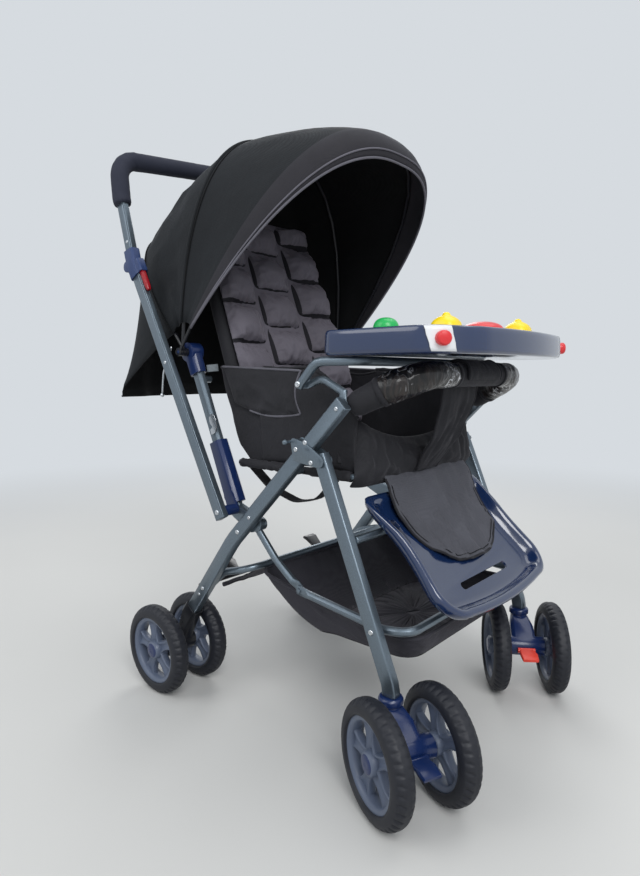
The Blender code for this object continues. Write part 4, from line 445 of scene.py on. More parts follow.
def clothMaterial(name, look):
    material, tree, shader = newMaterial(name)
    threads = placeGroup(tree, threadGroup, {"Color": fromScreen(*look["color"]), "Threads": look["threads"],
                                             "Contrast": look["contrast"], "Mottle": look["mottle"]})
    place = addNode(tree, "ShaderNodeTexCoord")
    rumple = addNode(tree, "ShaderNodeTexNoise", {"Scale": look["rumpleScale"], "Detail": 4.0, "Distortion": 0.6})
    tree.links.new(place.outputs["Object"], rumple.inputs["Vector"])
    soft = addBump(tree, rumple.outputs[0], look["rumple"], 0.004)
    normal = addBump(tree, threads.outputs["Height"], look["relief"], 0.0004, soft)
    linkAll(tree, [(threads.outputs["Color"], shader.inputs["Base Color"]),
                   (threads.outputs["Roughness"], shader.inputs["Roughness"]), (normal, shader.inputs["Normal"])])
    setShader(shader, {"Sheen Weight": look["sheen"], "Sheen Roughness": 0.4, "Specular IOR Level": look["shine"]})
    shader.inputs["Sheen Tint"].default_value = fromScreen(*look["sheenColor"])
    return material


def plasticMaterial(name, look):
    material, tree, shader = newMaterial(name)
    wear = placeGroup(tree, wearGroup, {
        "Color": fromScreen(*look["color"]), "Worn Color": fromScreen(*look["worn"]), "Grain": look["grain"],
        "Roughness": look["roughness"], "Wear": look["wear"]})
    color = wear.outputs["Color"]
    if look.get("flake"):
        flakes = placeGroup(tree, flakeGroup, {"Scale": 1800.0, "Amount": look["flake"]})
        tree.links.new(color, flakes.inputs["Color"])
        color = flakes.outputs["Color"]
    normal = addBump(tree, wear.outputs["Height"], look["relief"], 0.0003)
    linkAll(tree, [(color, shader.inputs["Base Color"]), (wear.outputs["Roughness"], shader.inputs["Roughness"]),
                   (normal, shader.inputs["Normal"])])
    setShader(shader, {"Metallic": look.get("metallic", 0.0), "Coat Weight": look.get("coat", 0.0),
                       "Coat Roughness": 0.12, "Specular IOR Level": look.get("shine", 0.5)})
    return material


paintLook = {"color": (108, 120, 130), "worn": (150, 160, 166), "grain": 420.0, "roughness": 0.36, "wear": 0.35,
             "relief": 0.05, "flake": 0.22, "metallic": 0.8, "coat": 0.2}
navyLook = {"color": (20, 40, 86), "worn": (56, 76, 124), "grain": 700.0, "roughness": 0.3, "wear": 0.3,
            "relief": 0.05, "coat": 0.2, "shine": 0.42}
glossLook = {"color": (22, 42, 80), "worn": (60, 80, 124), "grain": 700.0, "roughness": 0.14, "wear": 0.25,
             "relief": 0.03, "coat": 0.8, "shine": 0.55}
blueLook = {"color": (36, 56, 100), "worn": (80, 100, 144), "grain": 700.0, "roughness": 0.4, "wear": 0.3,
            "relief": 0.08}
tyreLook = {"color": (17, 20, 30), "worn": (50, 56, 70), "grain": 500.0, "roughness": 0.56, "wear": 0.5,
            "relief": 0.16, "shine": 0.5}
rimLook = {"color": (92, 102, 122), "worn": (148, 158, 172), "grain": 800.0, "roughness": 0.4, "wear": 0.25,
           "relief": 0.07}
foamLook = {"color": (42, 45, 58), "worn": (66, 69, 80), "grain": 1300.0, "roughness": 0.8, "wear": 0.3,
            "relief": 0.55, "shine": 0.3}
bareLook = {"roughness": 0.32, "wear": 0.25, "grain": 600.0, "relief": 0.04}
steelLook = {"color": (196, 200, 204), "worn": (150, 150, 150), "grain": 900.0, "roughness": 0.24, "wear": 0.3,
             "relief": 0.05, "metallic": 1.0}

glossNavy = plasticMaterial("glossNavy", glossLook)
framePaint = plasticMaterial("framePaint", paintLook)
navyPlastic = plasticMaterial("navyPlastic", navyLook)
bluePlastic = plasticMaterial("bluePlastic", blueLook)
tyreRubber = plasticMaterial("tyreRubber", tyreLook)
rimPlastic = plasticMaterial("rimPlastic", rimLook)
gripFoam = plasticMaterial("gripFoam", foamLook)
blackPlastic = plasticMaterial("blackPlastic", dict(bareLook, color=(24, 25, 30), worn=(60, 60, 66)))
redPlastic = plasticMaterial("redPlastic", dict(bareLook, color=(214, 48, 52), worn=(232, 110, 104)))
leverRed = plasticMaterial("leverRed", dict(bareLook, color=(232, 70, 54), worn=(240, 130, 110)))
triggerRed = plasticMaterial("triggerRed", dict(bareLook, color=(150, 18, 30), worn=(196, 80, 80)))
yellowPlastic = plasticMaterial("yellowPlastic", dict(bareLook, color=(248, 216, 36), worn=(252, 236, 130)))
greenPlastic = plasticMaterial("greenPlastic", dict(bareLook, color=(28, 170, 84), worn=(110, 206, 140)))
orangePlastic = plasticMaterial("orangePlastic", dict(bareLook, color=(238, 106, 52), worn=(246, 160, 120)))
whitePlastic = plasticMaterial("whitePlastic", dict(bareLook, color=(226, 228, 230), worn=(196, 198, 202)))
platedSteel = plasticMaterial("platedSteel", steelLook)

canopyLook = {"color": (26, 29, 33), "threads": 3600.0, "contrast": 0.3, "mottle": 0.22, "rumpleScale": 22.0,
              "rumple": 0.35, "relief": 0.25, "sheen": 0.06, "shine": 0.25, "sheenColor": (150, 155, 165)}
bandLook = dict(canopyLook, color=(46, 45, 50), sheen=0.2, rumple=0.15)
liningLook = dict(canopyLook, color=(14, 15, 17), sheen=0.04, shine=0.2)
quiltLook = {"color": (108, 104, 114), "threads": 4200.0, "contrast": 0.2, "mottle": 0.15, "rumpleScale": 30.0,
             "rumple": 0.30, "relief": 0.18, "sheen": 0.35, "shine": 0.45, "sheenColor": (196, 186, 198)}
seatLook = {"color": (36, 36, 41), "threads": 3600.0, "contrast": 0.3, "mottle": 0.25, "rumpleScale": 24.0,
            "rumple": 0.80, "relief": 0.25, "sheen": 0.16, "shine": 0.4, "sheenColor": (160, 156, 166)}
flapLook = dict(seatLook, color=(88, 89, 97), sheen=0.25, rumple=0.8)
basketLook = dict(seatLook, color=(56, 55, 63), rumple=0.5)
pipingLook = dict(seatLook, color=(104, 103, 112), rumple=0.1, sheen=0.3)
strapLook = dict(seatLook, color=(26, 26, 30), threads=2200.0, relief=0.5, rumple=0.1)

canopyCloth = clothMaterial("canopyCloth", canopyLook)
bandCloth = clothMaterial("bandCloth", bandLook)
liningCloth = clothMaterial("liningCloth", liningLook)
quiltCloth = clothMaterial("quiltCloth", quiltLook)
# a darker copy of the quilt cloth without sheen: painted shade for the sewn lines
quiltPaintedSeamShade = clothMaterial("quiltPaintedSeamShade", dict(quiltLook, color=(40, 39, 44), sheen=0.0, shine=0.2))
seatCloth = clothMaterial("seatCloth", seatLook)
flapCloth = clothMaterial("flapCloth", flapLook)
basketCloth = clothMaterial("basketCloth", basketLook)
pipingCloth = clothMaterial("pipingCloth", pipingLook)
strapWebbing = clothMaterial("strapWebbing", strapLook)
greyWebbing = clothMaterial("greyWebbing", dict(strapLook, color=(124, 132, 138)))


def clearFilmMaterial(name, look):
    # crinkled clear wrap over dark foam, with painted sheen on the crinkle ridges and painted glints in its colour
    material, tree, shader = newMaterial(name)
    place = addNode(tree, "ShaderNodeTexCoord")
    stretch = addNode(tree, "ShaderNodeMapping")
    stretch.inputs["Scale"].default_value = look["streaks"]
    crinkle = addNode(tree, "ShaderNodeTexNoise", {"Scale": look["crinkles"], "Detail": 3.0, "Distortion": 1.2})
    # the crinkle ridges mix towards the lighter colour: painted sheen on the crinkles
    ridge = addNode(tree, "ShaderNodeMapRange", {"From Min": 0.42, "From Max": 0.58})
    tint = addNode(tree, "ShaderNodeMix", data_type="RGBA")
    tint.inputs["A"].default_value = fromScreen(*look["color"])
    tint.inputs["B"].default_value = fromScreen(*look["light"])
    # painted glints: thin white streaks where the crinkle noise crosses its middle, in patches, as painted highlights
    # in the base colour
    offset = addNode(tree, "ShaderNodeMath", {1: 0.5}, operation="SUBTRACT")
    distance = addNode(tree, "ShaderNodeMath", operation="ABSOLUTE")
    line = addNode(tree, "ShaderNodeMapRange", {"From Min": 0.004, "From Max": 0.022, "To Min": 1.0, "To Max": 0.0})
    patch = addNode(tree, "ShaderNodeTexNoise", {"Scale": 15.0, "Detail": 1.0})
    spread = addNode(tree, "ShaderNodeMapRange", {"From Min": 0.50, "From Max": 0.60})
    mask = addNode(tree, "ShaderNodeMath", operation="MULTIPLY")
    glint = addNode(tree, "ShaderNodeMix", data_type="RGBA")
    glint.inputs["B"].default_value = fromScreen(*look["glint"])
    linkAll(tree, [(place.outputs["Object"], stretch.inputs["Vector"]),
                   (stretch.outputs[0], crinkle.inputs["Vector"]),
                   (crinkle.outputs[0], ridge.inputs["Value"]), (ridge.outputs[0], tint.inputs["Factor"]),
                   (crinkle.outputs[0], offset.inputs[0]), (offset.outputs[0], distance.inputs[0]),
                   (distance.outputs[0], line.inputs["Value"]), (place.outputs["Object"], patch.inputs["Vector"]),
                   (patch.outputs[0], spread.inputs["Value"]), (line.outputs[0], mask.inputs[0]),
                   (spread.outputs[0], mask.inputs[1]), (mask.outputs[0], glint.inputs["Factor"]),
                   (tint.outputs["Result"], glint.inputs["A"]),
                   (glint.outputs["Result"], shader.inputs["Base Color"])])
    tree.links.new(addBump(tree, crinkle.outputs[0], look["relief"], 0.012), shader.inputs["Normal"])
    setShader(shader, {"Roughness": 0.3, "Coat Weight": 0.45, "Coat Roughness": 0.03, "Specular IOR Level": 0.3})
    return material


# "light" is the painted sheen on the crinkle ridges, "glint" the colour of the painted highlight streaks
filmLook = {"color": (18, 17, 18), "light": (42, 35, 33), "glint": (226, 228, 232), "crinkles": 34.0,
            "streaks": (1.8, 1.8, 0.5), "relief": 0.6}
clearFilm = clearFilmMaterial("clearFilm", filmLook)
print("materials made")

# metal and moulded parts that keep their CAD shape

finishes = {
    "rear_leg": framePaint, "front_leg": framePaint, "gusset": framePaint, "tray_link": framePaint,
    "rear_crossbar": framePaint, "front_crossbar": framePaint, "basket_bar": framePaint, "upright": framePaint,
    "seat_frame": framePaint, "backrest_frame": framePaint, "handle_leg": framePaint, "handle_bar": framePaint,
    "tray_tube": framePaint, "brake_bar": blackPlastic, "rear_hub": blackPlastic, "caster": navyPlastic,
    "caster_lock": leverRed, "upright_sleeve": navyPlastic, "canopy_clip": navyPlastic, "canopy_hoop": blackPlastic,
    "handle_collar": bluePlastic, "handle_trigger": triggerRed, "corner_button": redPlastic,
}
roundingWidth = {"caster": 0.0012, "rear_hub": 0.0012, "canopy_hoop": 0.0008, "gusset": 0.0006, "brake_bar": 0.001,
                 "handle_trigger": 0.0018, "corner_button": 0.0012, "caster_lock": 0.0015}


def finishMetalParts():
    for name, node in frame["nodes"].items():
        kinds = [kind for kind in finishes if name.startswith(kind)]
        if not kinds:
            continue
        kind = max(kinds, key=len)
        node.data.materials.clear()
        node.data.materials.append(navyPlastic if name == "caster_lock_right" else finishes[kind])
        node.data.polygons.foreach_set("use_smooth", [True] * len(node.data.polygons))
        weld = node.modifiers.new("weld", "WELD")
        weld.merge_threshold = 0.00002
        bevelled(node, roundingWidth.get(kind, 0.0016), 2, 28)


finishMetalParts()
print("metal parts finished")

# rivets and pins

rivetLook = {"headRadius": 0.0042, "headHeight": 0.0016}


def rivet(name, place, axis, body, scale):
    radius, height = rivetLook["headRadius"] * scale, rivetLook["headHeight"] * scale
    profile = [(-0.001, 0), (-0.001, radius), (height * 0.3, radius), (height * 0.75, radius * 0.72),
               (height, radius * 0.35), (height * 0.8, radius * 0.28), (height * 0.8, 0)]
    piece = turned(name, profile, place, axis, platedSteel, 18)
    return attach(piece, body)


def legPoint(start, end, share, plane, sign):
    return at(sign * plane, start[0] + (end[0] - start[0]) * share, start[1] + (end[1] - start[1]) * share)


legTop, legBend, legFoot = (-0.166, 0.531), (0.072, 0.2925), (0.194, 0.1325)
frontPivot, frontKnee = (-0.127, 0.446), (-0.236, 0.180)
legFace, handleFace = 0.220, 0.2405


def addRivets():
    for side, sign in sides.items():
        spots = [(f"legRivetTop_{side}", legTop, legBend, 0.035, legFace, "rear_frame", 0.8),
                 (f"legRivetMiddle_{side}", legTop, legBend, 0.80, legFace, "rear_frame", 0.8),
                 (f"legRivetFold_{side}", legTop, legBend, 0.92, legFace, "rear_frame", 1.0),
                 (f"legRivetLow_{side}", legBend, legFoot, 0.62, legFace, "rear_frame", 0.9),
                 (f"legRivetBrake_{side}", legBend, legFoot, 0.70, legFace, "rear_frame", 0.7),
                 (f"kneeRivet_{side}", frontPivot, frontKnee, 0.86, legFace, "front_frame", 1.0)]
        for name, start, end, share, plane, body, scale in spots:
            rivet(name, legPoint(start, end, share, plane, sign), (sign, 0, 0), body, scale)
        low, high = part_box(f"gusset_{side}")
        outer = max(abs(low.x - shift.x), abs(high.x - shift.x))
        for index, (y, z) in enumerate(((-0.127, 0.446), (-0.098, 0.463), (-0.116, 0.474))):
            rivet(f"gussetRivet{index}_{side}", at(sign * outer, y, z), (sign, 0, 0), "rear_frame", 0.9)
        rivet(f"handleRivet_{side}", at(sign * handleFace, 0.079, 0.344), (sign, 0, 0), "handle", 1.1)
        rivet(f"handleRivetTop_{side}", at(sign * handleFace, 0.2135, 0.5915), (sign, 0, 0), "handle", 0.8)
        rivet(f"barRivet_{side}", at(sign * handleFace, 0.322, 0.812), (sign, 0, 0), "handle", 0.7)
        rivet(f"trayLinkRivet_{side}", at(sign * 0.2195, -0.084, 0.556), (sign, 0, 0), "tray", 1.2)


addRivets()
print("rivets added")

# wheels

tyreShape = {"radius": 0.0787, "width": 0.030, "beadRadius": 0.0590, "blocks": 40, "grooveDepth": 0.0020}
rimShape = {"outerRadius": 0.0600, "spokes": 5, "hubRadius": 0.0165, "capRadius": 0.0125, "depth": 0.0115}


def tyrePoints():
    half = tyreShape["width"] / 2
    outer, bead = tyreShape["radius"], tyreShape["beadRadius"]
    profile = []   # (across, radius, how much a groove cuts, which side)
    count = 26
    for index in range(count + 1):
        angle = math.pi * index / count
        across = -half * math.copysign(abs(math.cos(angle)) ** 0.80, math.cos(angle))
        radius = bead + (outer - bead) * abs(math.sin(angle)) ** 0.74
        level = (radius - bead) / (outer - bead)
        cut = max(0.0, min(1.0, (level - 0.62) / 0.16)) * (1.0 if abs(across) > 0.0035 else 0.0)
        profile.append((across, radius, cut, 1 if across > 0 else -1))
    return profile


def tyreMesh(name, place, axis):
    profile = tyrePoints()
    perBlock = 6
    steps = tyreShape["blocks"] * perBlock
    first = axis.orthogonal().normalized()
    second = axis.cross(first)
    rows = []
    for k in range(steps):
        angle = math.tau * k / steps
        spoke = first * math.cos(angle) + second * math.sin(angle)
        row = []
        for across, radius, cut, hand in profile:
            slant = k + (3 if hand > 0 else 0) + abs(across) * 130
            phase = slant % perBlock
            groove = 1.0 if phase < 1.6 else 0.0
            depth = tyreShape["grooveDepth"] * groove * cut
            if abs(across) < 0.0012:
                depth = 0.0008
            row.append(place + axis * across + spoke * (radius - depth))
        rows.append(row)
    rows.append(rows[0])
    width = len(profile)
    vertices = [point for row in rows[:-1] for point in row]
    faces = []
    for k in range(steps):
        after = (k + 1) % steps
        for j in range(width - 1):
            faces.append((k * width + j, k * width + j + 1, after * width + j + 1, after * width + j))
    for j in range(1):
        faces += [(k * width, ((k + 1) % steps) * width, ((k + 1) % steps) * width + width - 1, k * width + width - 1)
                  for k in range(steps)]
    return makePiece(name, vertices, faces, tyreRubber)


def rimMesh(name, place, axis, outward):
    # outward is the direction of the show face along the axle
    depth, outer = rimShape["depth"], rimShape["outerRadius"]
    ring = [(-depth, outer - 0.002), (-depth, outer - 0.0075), (-depth * 0.55, outer - 0.0095),
            (0, outer - 0.0105), (depth * 0.55, outer - 0.0095), (depth, outer - 0.0075), (depth, outer - 0.002),
            (depth * 0.9, outer + 0.0004), (-depth * 0.9, outer + 0.0004), (-depth, outer - 0.002)]
    parts = [turned(name + "Ring", ring, place, axis, rimPlastic, 72)]
    hub = rimShape["hubRadius"]
    barrel = [(-0.0140, 0), (-0.0140, hub * 0.80), (-0.0125, hub * 0.92), (-0.006, hub), (0.006, hub),
              (0.0125, hub * 0.92), (0.0140, hub * 0.80), (0.0140, 0)]
    parts.append(turned(name + "Hub", barrel, place, axis, rimPlastic, 36))
    first = axis.orthogonal().normalized()
    second = axis.cross(first)
    for spokeIndex in range(rimShape["spokes"]):
        angle = math.tau * (spokeIndex + 0.5) / rimShape["spokes"]
        along = first * math.cos(angle) + second * math.sin(angle)
        across = axis.cross(along)
        rows = []
        for step in range(9):
            share = step / 8
            radius = hub * 0.7 + (outer - 0.006 - hub * 0.7) * share
            wide = 0.0072 + 0.0052 * abs(2 * share - 0.9) ** 1.6 + 0.004 * share ** 3
            high = 0.0062 + 0.0016 * (1 - share)
            section = [(-wide, -high * 0.6), (-wide * 0.82, -high), (-wide * 0.5, -high * 0.55), (0, -high * 0.42),
                       (wide * 0.5, -high * 0.55), (wide * 0.82, -high), (wide, -high * 0.6),
                       (wide, high * 0.6), (wide * 0.82, high), (wide * 0.5, high * 0.55), (0, high * 0.42),
                       (-wide * 0.5, high * 0.55), (-wide * 0.82, high), (-wide, high * 0.6)]
            rows.append([place + along * radius + across * a + axis * b for a, b in section])
        parts.append(makePiece(f"{name}Spoke{spokeIndex}", [p for row in rows for p in row],
                               gridFaces(len(rows), len(rows[0]), True), rimPlastic))
    cap = rimShape["capRadius"]
    for sign, material in ((1, navyPlastic), (-1, blackPlastic)):
        face = outward * sign
        dome = [(0.012, 0), (0.012, cap), (0.0142, cap), (0.0149, cap * 0.9), (0.0150, cap * 0.25), (0.0146, 0)]
        parts.append(turned(f"{name}Cap{sign}", dome, place, face, material, 28))
    return joined(name, parts)


def addWheels():
    for end in ("front", "rear"):
        for side, sign in sides.items():
            for position in ("outer", "inner"):
                node = f"{end}_wheel_{side}_{position}"
                joint = joints[node + "_spin"]
                place, axis = Vector(joint["pos_m"]), Vector(joint["axis"]).normalized()
                low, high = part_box(node)
                place = (low + high) / 2
                outward = axis if axis.x * sign * (1 if position == "outer" else -1) > 0 else -axis
                tyre = tyreMesh(f"tyre_{end}_{side}_{position}", place, axis)
                rim = rimMesh(f"rim_{end}_{side}_{position}", place, axis, outward)
                for piece in (tyre, rim):
                    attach(piece, node)
                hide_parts(node)
                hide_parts(node)


addWheels()
print("wheels made")

# canopy

canopyShape = {
    "hub": (0.200, 0.610), "power": 2.6, "cover": 0.0052, "sag": 0.010, "columns": 72, "rowsBetween": 9,
    "hemHeight": 0.527, "hemDepth": 0.440, "thickness": 0.0018, "wrinkle": 0.0030,
    "lip": ((7.6, -0.0175), (7.3, -0.0125), (6.5, -0.0060), (5.2, -0.0005), (3.6, 0.0030), (1.8, 0.0040)),
}
hoops = {
    "front": {"lean": 38.0, "reach": 0.448, "half": 0.2189},
    "middle": {"lean": 5.0, "reach": 0.392, "half": 0.2124},
    "rear": {"lean": -42.0, "reach": 0.345, "half": 0.2059},
}


def hoopPoint(shape, share, grow=0.0):
    angle = math.pi * share
    cosine, sine = math.cos(angle), math.sin(angle)
    bend = 2 / canopyShape["power"]
    x = -(shape["half"] + grow) * math.copysign(abs(cosine) ** bend, cosine)
    out = (shape["reach"] + grow) * abs(sine) ** bend
    lean = math.radians(shape["lean"])
    return at(x, canopyShape["hub"][0] - out * math.sin(lean), canopyShape["hub"][1] + out * math.cos(lean))


def hoopBetween(a, b, share):
    return {key: a[key] + (b[key] - a[key]) * share for key in a}


def canopyShares(count):
    return [0.022 + 0.956 * index / count for index in range(count + 1)]


def canopyRow(shape, pull, seed):
    # pull is how far the row is from its hoops, 0 on a hoop and 1 halfway
    row = []
    for share in canopyShares(canopyShape["columns"]):
        side = 1 - math.sin(math.pi * share)
        grow = canopyShape["cover"] - canopyShape["sag"] * pull * (1 - 0.5 * side)
        fan = (creases((share * 9, seed * 2.3, 0), 1.0, 3.1) * 0.5
               + creases((share * 22, seed * 4.1, 0), 1.0, 7.7) * 0.3)
        if seed > 4:  # looser cloth at the back, bunched where it nears the top
            nearTop = math.exp(-((share - 0.40) / 0.20) ** 2)
            fan = fan * 1.8 + 2.2 * creases((share * 13, seed * 3.4, 1), 1.0, 5.9) * nearTop
            fan = max(fan, -1.0)
        grow += canopyShape["wrinkle"] * pull * (0.4 + 1.2 * side) * fan
        row.append(hoopPoint(shape, share, grow))
    return row


def makeCanopy():
    front, middle, rear = hoops["front"], hoops["middle"], hoops["rear"]
    rows = [canopyRow(dict(front, lean=front["lean"] + more, reach=front["reach"] + out), 0, 0)
            for more, out in canopyShape["lip"]]
    count = canopyShape["rowsBetween"]
    for a, b, seed in ((front, middle, 1.0), (middle, rear, 5.0)):
        for index in range(count):
            share = index / count
            rows.append(canopyRow(hoopBetween(a, b, share), math.sin(math.pi * share), seed + share))
    rows.append(canopyRow(rear, 0, 0))
    rows.append(canopyRow(dict(rear, lean=-44.0), 0, 0))
    hang = rows[-1]
    drop = 12
    for step in range(1, drop + 1):
        depth = step / drop
        row = []
        for point in hang:
            x = point.x - shift.x
            wave = (math.sin(x * 46 + 0.6) * 0.5 + math.sin(x * 83 - 1.1) * 0.3
                    + 0.35 * creases((x * 30, 0, 0), 1.0, 2.0))
            hemY = canopyShape["hemDepth"] + shift.y - 0.16 * abs(x) + 0.007 * wave * depth
            y = point.y + (hemY - point.y) * min(1.0, (depth * 1.15) ** 0.85)
            z = point.z + (canopyShape["hemHeight"] - point.z) * depth
            row.append(Vector((point.x * (1 - 0.01 * depth), y, z)))
        rows.append(row)
    cover = clothGrid("canopyCover", rows, canopyCloth)
    bandRows = len(canopyShape["lip"]) * canopyShape["columns"]
    cover.data.materials.append(bandCloth)
    for polygon in cover.data.polygons:
        if polygon.index < bandRows:
            polygon.material_index = 1
    # thickness, with a dark lining inside
    cover.data.materials.append(liningCloth)
    cover.data.materials.append(bandCloth)
    solid = cover.modifiers.new("thickness", "SOLIDIFY")
    solid.thickness = canopyShape["thickness"]
    solid.offset = -1.0 if facesOut(cover) else 1.0
    solid.material_offset = 2
    settled(cover)
    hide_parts("canopy_cover")
    trims = []
    seams = [(dict(front, lean=45.7, reach=0.4300), 0.0019, pipingCloth, 0.0004),
             (dict(front, lean=44.7, reach=0.4405), 0.0014, pipingCloth, 0.0012),
             (dict(middle, lean=4.6), 0.0030, canopyCloth, 0.0004),
             (dict(middle, lean=6.4), 0.0011, liningCloth, 0.0008),
             (dict(rear, lean=-42.0), 0.0015, liningCloth, 0.0010)]
    for index, (shape, thick, material, lift) in enumerate(seams):
        path = [hoopPoint(shape, share, canopyShape["cover"] + lift) for share in canopyShares(96)]
        trims.append((tube(f"canopySeam{index}", path, thick, material, 8), index))
    hemPath = [point + Vector((0, 0.0008, 0.0006)) for point in rows[-1]]
    trims.append((tube("canopyHem", hemPath, 0.0019, canopyCloth, 8), 9))
    return cover, trims


def facesOut(piece):
    # True where a sheet's normals point away from the canopy's middle
    middle = at(0, canopyShape["hub"][0], canopyShape["hub"][1] + 0.1)
    total = sum((polygon.center - middle).dot(polygon.normal) for polygon in piece.data.polygons)
    return total > 0


canopyCover, canopyTrims = makeCanopy()
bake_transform(canopyCover)
for trim, index in canopyTrims:
    if index in (0, 1):
        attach(trim, "front_hoop")
    elif index in (2, 3):
        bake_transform(trim)
    else:
        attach(trim, "uprights")
print("canopy made")

# quilted backrest

backrestShape = {"pivot": (0.085, 0.420), "lean": 21.0, "length": 0.488, "half": 0.150, "back": 0.0055,
                 "columns": (-1.0, -0.36, 0.36, 1.0), "rows": 6, "offsets": (0.45, 0.0, 0.62), "seamDepth": 0.004,
                 "puff": 0.029, "gather": 0.0046, "pressure": 4.0, "slack": 0.10, "frames": 20, "cap": 0.012,
                 "taper": 0.10, "seamReach": 0.010, "sideShare": 0.40, "sideFall": 0.008, "belowFall": 0.0045,
                 "aboveFall": 0.012, "pleatReach": 0.011, "seamShadeShare": 0.60}


def backrestPoint(distance, depth, x):
    lean = math.radians(backrestShape["lean"])
    rise = Vector((0, math.sin(lean), math.cos(lean)))
    front = Vector((0, -math.cos(lean), math.sin(lean)))
    return at(x, *backrestShape["pivot"]) + rise * distance + front * depth


def backrestWidth(v):
    # how much of the width is left at a height from 0 to 1
    return 1 - backrestShape["taper"] * v ** 3


def inflated(piece, seamWeights, values):
    # blows the cloth up against its pinned seams
    group = piece.vertex_groups.new(name="seams")
    for index, weight in seamWeights.items():
        group.add([index], weight, "REPLACE")
    before = [vertex.co.copy() for vertex in piece.data.vertices]
    cloth = piece.modifiers.new("puff", "CLOTH")
    settings = cloth.settings
    settings.quality = 6
    settings.mass = 0.12
    settings.tension_stiffness = settings.compression_stiffness = 14
    settings.shear_stiffness = 6
    settings.bending_stiffness = 0.35
    settings.use_pressure = True
    settings.uniform_pressure_force = values["pressure"]
    settings.effector_weights.gravity = 0
    settings.vertex_group_mass = "seams"
    settings.shrink_min = -values["slack"]
    scene = bpy.context.scene
    for number in range(1, values["frames"] + 1):
        scene.frame_set(number)
    settled(piece)
    scene.frame_set(1)
    for vertex, start in zip(piece.data.vertices, before):
        move = vertex.co - start
        if move.length > values["cap"]:
            vertex.co = start + move * (values["cap"] / move.length)
    piece.vertex_groups.clear()
    return piece


def quiltCell(u, v):
    # where a point lies in its cell: across from -1 to 1, and up from 0 to 1
    columns = backrestShape["columns"]
    column = 0 if u < columns[1] else 1 if u < columns[2] else 2
    low, high = columns[column], columns[column + 1]
    across = (2 * u - low - high) / (high - low)
    up = v * backrestShape["rows"] + backrestShape["offsets"][column]
    return column, across, up - math.floor(up), math.floor(up), (high - low) / 2


def quiltSeam(u, v):
    # 1 on a sewn line, falling to 0 inside a cell
    column, across, up, _, width = quiltCell(u, v)
    side = (1 - abs(across)) * width * backrestShape["half"]
    if across * (column - 1) > 0:  # the outer half of an outer column has no line beside it
        side = 1.0
    rise = min(up, 1 - up) / backrestShape["rows"] * backrestShape["length"]
    return max(0.0, 1 - min(side * backrestShape["sideShare"], rise) / backrestShape["seamReach"])


def quiltPuff(u, v):
    # a full cell that hangs over its lower seam, with gathers along both cross seams
    shape = backrestShape
    column, across, up, row, width = quiltCell(u, v)
    side = (1 - abs(across)) * width * shape["half"]
    below = up / shape["rows"] * shape["length"]
    above = (1 - up) / shape["rows"] * shape["length"]
    full = 1.0
    for gap, fall in ((side, "sideFall"), (below, "belowFall"), (above, "aboveFall")):
        full *= 1 - math.exp(-gap / shape[fall])
    dome = 0.72 + 0.28 * math.sin(math.pi * up ** 0.7) * (1 - across * across)
    uneven = 0.9 + 0.2 * noise.noise(Vector((column * 3.1, row * 1.7, 0.4)))
    near = math.exp(-(min(below, above) / shape["pleatReach"]) ** 2)
    pleats = creases((u * 13 + row * 2.3, row * 3.7 + column, 0.2), 1.0, 1.3)
    ends = min(1.0, below / 0.004, above / 0.004)
    return (shape["puff"] * full * dome * uneven
            + shape["gather"] * near * pleats * min(1.0, side / 0.012) * ends)


def makeBackrest():
    shape = backrestShape
    wide, tall = 84, 132
    low = 0.014
    rows, pinned = [], {}
    for i in range(tall + 1):
        v = i / tall
        distance = low + (shape["length"] - low) * v
        narrow = backrestWidth(v)
        row = []
        for j in range(wide + 1):
            u = 2 * j / wide - 1
            seam = quiltSeam(u, v)
            edge = min(1.0, (1 - abs(u)) * 9, v * 16, (1 - v) * 16)
            wing = 0.018 * abs(u) ** 4
            puff = shape["seamDepth"] * (0.5 + 0.5 * edge) + quiltPuff(u, v) * min(1.0, edge * 1.6)
            jitter = 0.003 * noise.noise(Vector((u * 6, v * 9, 4.2)))
            depth = shape["back"] + puff + wing
            row.append(backrestPoint(distance + jitter * seam, depth, u * shape["half"] * narrow))
            if seam > 0.55 or edge < 0.2:
                pinned[i * (wide + 1) + j] = 1.0
        rows.append(row)
    pad = clothGrid("backrestQuilt", rows, quiltCloth)
    inflated(pad, pinned, shape)
    front = [vertex.co.copy() for vertex in pad.data.vertices]
    width = wide + 1
    border = list(range(width)) + [i * width + wide for i in range(1, tall)] \
        + list(range(tall * width + wide, tall * width - 1, -1)) + [i * width for i in range(tall - 1, 0, -1)]
    vertices, faces = list(front), gridFaces(tall + 1, width)
    back = {}
    for index in border:
        i, j = divmod(index, width)
        v, u = i / tall, 2 * j / wide - 1
        back[index] = len(vertices)
        vertices.append(backrestPoint(low + (shape["length"] - low) * v, shape["back"] + 0.011 * abs(u) ** 4,
                                      u * shape["half"] * backrestWidth(v) * 0.985))
    for a, b in zip(border, border[1:] + border[:1]):
        faces.append((a, b, back[b], back[a]))
    for i in range(tall):
        a, b = back[i * width], back[(i + 1) * width]
        c, d = back[(i + 1) * width + wide], back[i * width + wide]
        faces.append((a, b, c, d))
    bpy.data.objects.remove(pad)
    quilt = makePiece("backrestQuilt", vertices, faces, quiltCloth)
    sewn = quilt.data.attributes.new("sewn", "FLOAT", "POINT")
    for index in range(len(front)):
        i, j = divmod(index, width)
        sewn.data[index].value = quiltSeam(2 * j / wide - 1, i / tall)
    subdivided(quilt)
    # painted shade: faces on the sewn lines take the darker, sheenless copy of the quilt cloth
    quilt.data.materials.append(quiltPaintedSeamShade)  # the sewn lines lie in their own shadow
    sewn = [value.value for value in quilt.data.attributes["sewn"].data]
    for polygon in quilt.data.polygons:
        if sum(sewn[index] for index in polygon.vertices) > shape["seamShadeShare"] * len(polygon.vertices):
            polygon.material_index = 1
    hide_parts("backrest_pad")
    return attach(quilt, "backrest")


